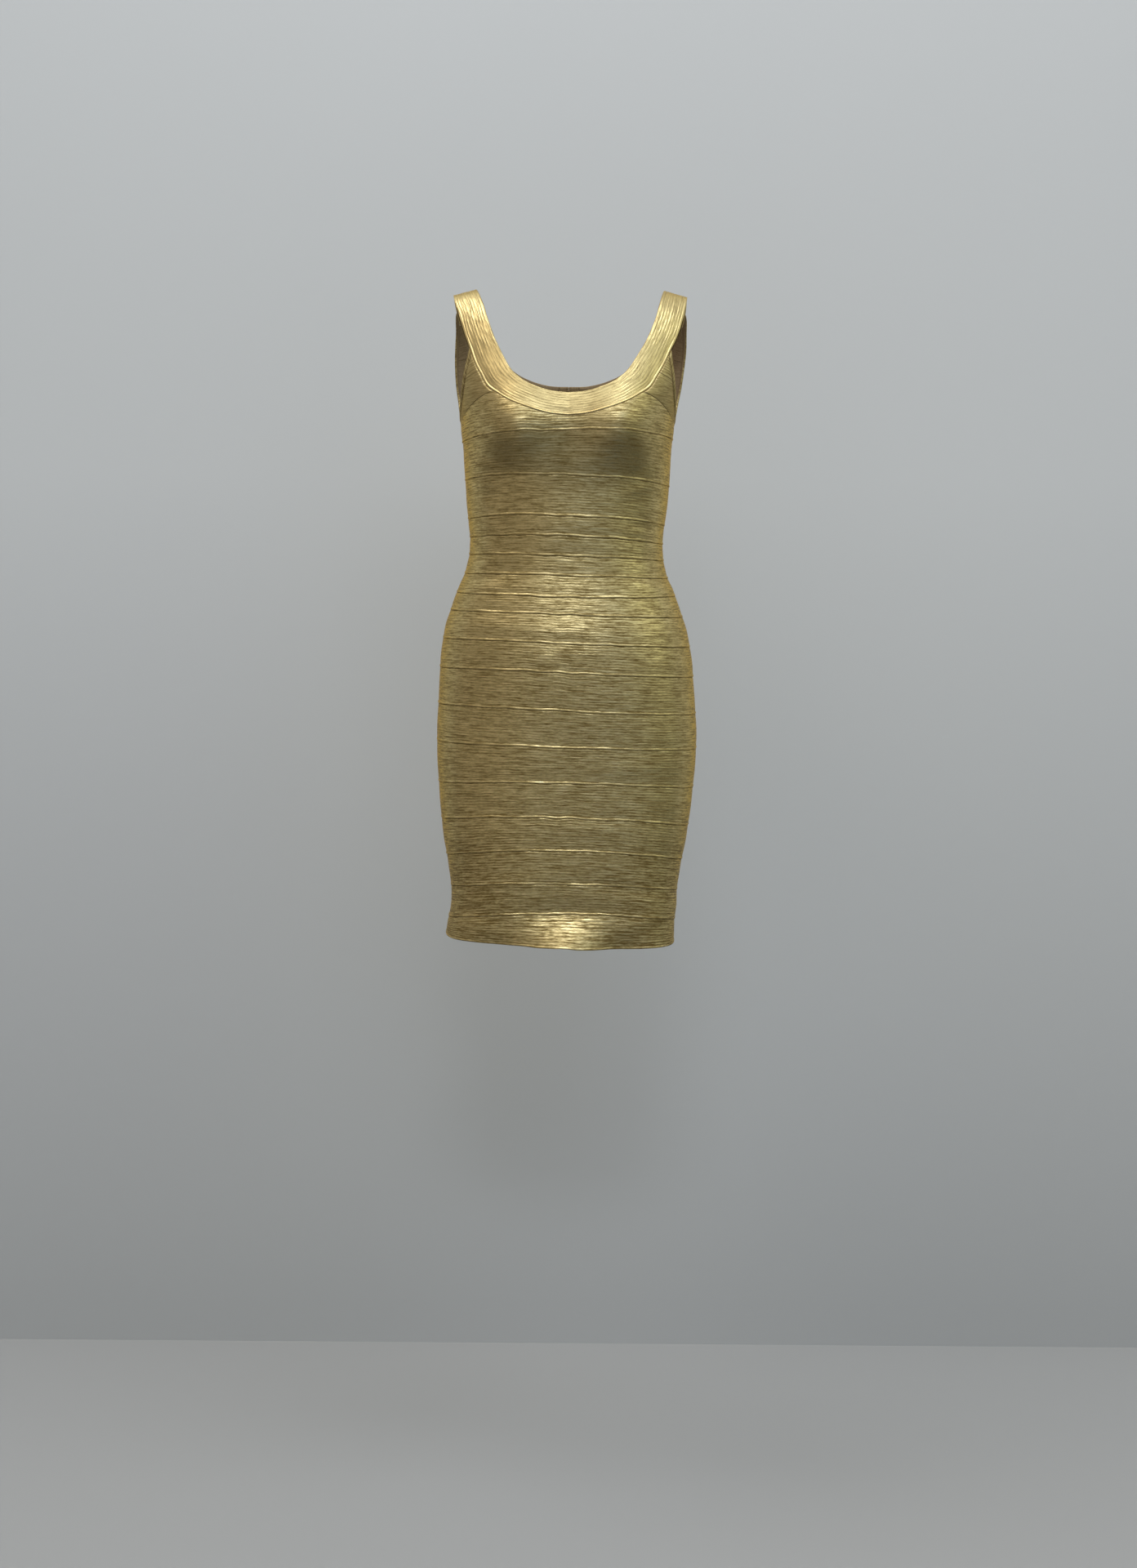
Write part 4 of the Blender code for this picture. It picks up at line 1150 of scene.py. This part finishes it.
def make_teeth(finish):
    """Small bars across the meeting tapes, from the left and the right in turn, and the stop
    below them. Each bar's eight corners lie under the tapes at its own drop."""
    drop = np.arange(ZIP_TOP + TOOTH_PITCH, ZIP_END - STOP_LENGTH, TOOTH_PITCH)
    reach = np.where(np.arange(len(drop)) % 2, TOOTH_REACH, -TOOTH_REACH)
    half = np.full(len(drop), 0.5)
    teeth = np.stack([drop, reach, TOOTH_LENGTH * half, TOOTH_WIDTH * half])
    stop = [[ZIP_END - STOP_LENGTH / 2 + STOP_LOWER], [0.0], [STOP_LENGTH / 2], [STOP_WIDTH / 2]]
    drop, reach, half_long, half_wide = np.hstack([teeth, stop])[..., None]
    side, end = np.array([-1, 1, 1, -1] * 2), np.array([-1, -1, 1, 1] * 2)
    deep = np.repeat([0, 1], 4) * TOOTH_THICK + TAPE_THICK + TAPE_CLEAR
    corners = inside_back(reach + side * half_wide, drop + end * half_long, deep)
    box = np.array(
        [[0, 1, 2, 3], [7, 6, 5, 4], [0, 4, 5, 1], [1, 5, 6, 2], [2, 6, 7, 3], [3, 7, 4, 0]]
    )
    faces = (box + 8 * np.arange(len(drop))[:, None, None]).reshape(-1, 4)
    points = corners.reshape(-1, 3)
    mesh = mesh_of("zip_teeth", points, faces.tolist(), finish)
    turn_outwards(mesh, points)
    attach(placed("zip_teeth", mesh), "dress")


ZIP_TAPE = tape_finish()
for hand, word in HANDS:
    make_tape(word, hand, ZIP_TAPE)
make_teeth(nylon_finish())

ZIP_METAL = metal_finish()
for node in ("zip_slider", "zip_pull_tab"):
    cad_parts[node].data.materials.clear()
    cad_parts[node].data.materials.append(ZIP_METAL)

# ---- Studio ----
# A pale floor and wall, soft lights above, in front and at the hem, a room round them for the
# foil to mirror, and the camera at the height of the waist.

FLOOR_DROP = 1460.0
WALL_BEHIND, WALL_TOP = 500.0, 3000.0
STUDIO_HALF = 6000.0
# Painted shade of the studio's faces: the share of their colour at and below the lower height, rising
# to the full colour at the upper one.
FOOT_PAINTED_SHADE, FOOT_SHADE_HEIGHTS = 0.68, (-1.4, -0.2)
FLOOR_PAINT, WALL_PAINT = (0.62, 0.62, 0.61), (0.74, 0.755, 0.755)


def studio_finish(name, colour, seen_from_behind):
    """A matt painted face with a faint mottle, darker towards the floor as painted shade. The wall's
    back lets the view through from behind the dress."""
    finish = Finish(name, colour)
    mottle = finish.solid_noise(2.0)
    _, _, up = finish.axes(finish.node("ShaderNodeTexCoord", {}, {}, output=3))
    # Painted shade: the colour darkens towards the floor between the two foot heights.
    foot_shade = (*(FOOT_PAINTED_SHADE * part for part in colour), 1)
    shaded = finish.mix(finish.steps(up, *FOOT_SHADE_HEIGHTS), foot_shade, (*colour, 1))
    finish.set(Base_Color=finish.mix(mottle * 0.08, shaded, foot_shade), Roughness=0.85)
    if not seen_from_behind:
        clear = finish.node("ShaderNodeBsdfTransparent", {}, {})
        behind = finish.node("ShaderNodeNewGeometry", {}, {}, output=6)
        paint = Value(finish, finish.shader.outputs[0])
        shown = finish.node("ShaderNodeMixShader", {}, {0: behind, 1: paint, 2: clear})
        finish.put(finish.tree.nodes["Material Output"].inputs["Surface"], shown)
    return finish.material


def studio_plane(name, near, far, finish):
    """A flat piece of the studio between two level lines, each given by its y and z."""
    corners = ((-STUDIO_HALF, *near), (STUDIO_HALF, *near), (STUDIO_HALF, *far), (-STUDIO_HALF, *far))
    made = placed(name, mesh_of(name, np.array(corners), [(0, 1, 2, 3)], finish))
    return made


FLOOR_EDGE, CORNER = (-STUDIO_HALF, -FLOOR_DROP), (WALL_BEHIND, -FLOOR_DROP)
floor = studio_plane("floor", FLOOR_EDGE, CORNER, studio_finish("floor_paint", FLOOR_PAINT, True))
floor.visible_glossy = False
WALL_FINISH = studio_finish("wall_paint", WALL_PAINT, seen_from_behind=False)
studio_plane("wall", CORNER, (WALL_BEHIND, WALL_TOP), WALL_FINISH)

# The room's light by height, and the shades and tints of its sides. Each place in it starts with
# the way there from the dress. A dark one takes a share of the light away, between the cosines
# of DARK_EDGES, and a pale one adds so much light, from its own last cosine to PALE_FULL.
LOWEST_LIGHT, LOW_LIGHT, LEVEL_LIGHT, HIGH_LIGHT = 0.04, 0.24, 0.41, 0.66
LOW_RISE, LEVEL_RISE, HIGH_RISE = (-0.90, -0.35), (-0.30, 0.10), (0.10, 0.80)
SEEN_ROOM, SEEN_ROOM_LIGHT = (0.97, 0.99, 1.0, 1), 0.42
WARM_SIDE = (1.02, 0.90, 0.76, 1)
COOL_SIDE = (0.92, 1.03, 1.20, 1)
GREEN_SIDE = (0.97, 1.03, 0.80, 1)
RIGHT_SHADE, LEFT_SHADE, LOW_SIDE_SHADE = 0.28, 0.26, 0.8
DARK_CORNER = ((-0.79, -0.55, 0.26), 0.68)
DARK_AHEAD = ((0.0, -0.997, -0.08), 0.26)
DARK_BEHIND = ((0.45, 0.88, -0.10), 0.55)
PALE_SIDE = ((0.81, -0.30, 0.50), 0.42, 0.87)
PALE_CORNER = ((-0.86, -0.48, -0.15), 0.20, 0.87)
PALE_FLOOR = ((-0.25, -0.82, -0.52), 0.10, 0.87)
PALE_BEHIND = ((-0.55, 0.70, 0.45), 0.55, 0.87)
PALE_HIGH = ((-0.52, -0.35, 0.78), 0.60, 0.93)
DARK_EDGES, PALE_FULL = (0.87, 0.97), 0.98


def room():
    """The room round the studio: dark below and pale above, with dark and pale places, shade at
    the sides, and light that is warm from the wearer's right, cool ahead and green at the left."""
    world = bpy.data.worlds.new("studio")
    bpy.context.scene.world = world
    world.use_nodes = True
    nodes = Nodes(world.node_tree)
    way = nodes.node("ShaderNodeTexCoord", {}, {})
    across, _, up = nodes.axes(way)

    def near(place, edge, full):
        """1 close to a place and 0 away from it, by the cosine between the two ways."""
        cosine = nodes.node(
            "ShaderNodeVectorMath", {"operation": "DOT_PRODUCT"}, {0: way, 1: place}, output=1
        )
        return nodes.steps(cosine, edge, full)

    light = (
        LOWEST_LIGHT
        + (LOW_LIGHT - LOWEST_LIGHT) * nodes.steps(up, *LOW_RISE)
        + (LEVEL_LIGHT - LOW_LIGHT) * nodes.steps(up, *LEVEL_RISE)
        + (HIGH_LIGHT - LEVEL_LIGHT) * nodes.steps(up, *HIGH_RISE)
    )
    for place, share in (DARK_CORNER, DARK_AHEAD, DARK_BEHIND):
        light = light * (1 - share * near(place, *DARK_EDGES))
    light = light * (1 - RIGHT_SHADE * nodes.steps(across, -0.4, -0.8))
    light = light * (1 - LEFT_SHADE * nodes.steps(across, 0.5, 0.85) * nodes.steps(up, 0.35, 0.0))
    to_the_side = nodes.steps(across * across, 0.3, 0.75)
    light = light * (1 - LOW_SIDE_SHADE * to_the_side * nodes.steps(up, -0.02, -0.35))
    for place, more, edge in (PALE_SIDE, PALE_CORNER, PALE_FLOOR, PALE_BEHIND, PALE_HIGH):
        light = light + more * near(place, edge, PALE_FULL)
    tint = nodes.mix(nodes.steps(across, -0.45, 0.15), WARM_SIDE, COOL_SIDE)
    tint = nodes.mix(nodes.steps(across, 0.45, 0.8), tint, GREEN_SIDE)
    seen = nodes.node("ShaderNodeLightPath", {}, {})
    background = world.node_tree.nodes["Background"]
    nodes.put(background.inputs["Color"], nodes.mix(seen, tint, SEEN_ROOM))
    nodes.put(background.inputs["Strength"], light + seen * (SEEN_ROOM_LIGHT - light))


room()

HEM_SPREAD = math.radians(25)


def soft_light(name, place, aim, size, power, colour, spread=math.pi):
    """An oblong soft light of that size in metres, turned to face a point and itself unseen."""
    data = bpy.data.lights.new(name, "AREA")
    data.shape = "RECTANGLE"
    data.size, data.size_y = size
    data.energy = power
    data.color = colour
    data.spread = spread
    made = placed(name, data)
    made.location = place
    made.visible_camera = False
    x, y, z = np.array(place) - np.array(aim)
    made.rotation_euler = (math.atan2(math.hypot(x, y), z), 0, math.atan2(x, -y))


soft_light(
    "ceiling_light", place=(-0.15, -0.5, 2.4), aim=(0, -0.1, -0.4), size=(3.6, 1.4), power=44,
    colour=(0.97, 1.0, 1.05),
)
soft_light(
    "front_light", place=(0.3, -3.4, 1.8), aim=(0, 0, -0.4), size=(1.8, 1.3), power=13.5,
    colour=(0.96, 1.0, 1.08),
)
soft_light(
    "hem_light", place=(0.0, -1.5, 0.3), aim=(0, 0, -0.82), size=(0.5, 0.2), power=0.08,
    colour=(0.96, 1.0, 1.1), spread=HEM_SPREAD,
)

CAMERA_PLACE, CAMERA_LENS = (0.002, -3.0, -0.323), 56.25
CAMERA_PITCH, CAMERA_ROLL = math.radians(5.14), math.radians(0.45)

camera = placed("camera", bpy.data.cameras.new("camera"))
camera.data.lens = CAMERA_LENS
camera.data.sensor_width = 36.0
camera.location = CAMERA_PLACE
camera.rotation_euler = (math.pi / 2 - CAMERA_PITCH, -CAMERA_ROLL, 0)
bpy.context.scene.camera = camera
bpy.context.scene.view_settings.view_transform = "Standard"

bpy.context.view_layer.update()
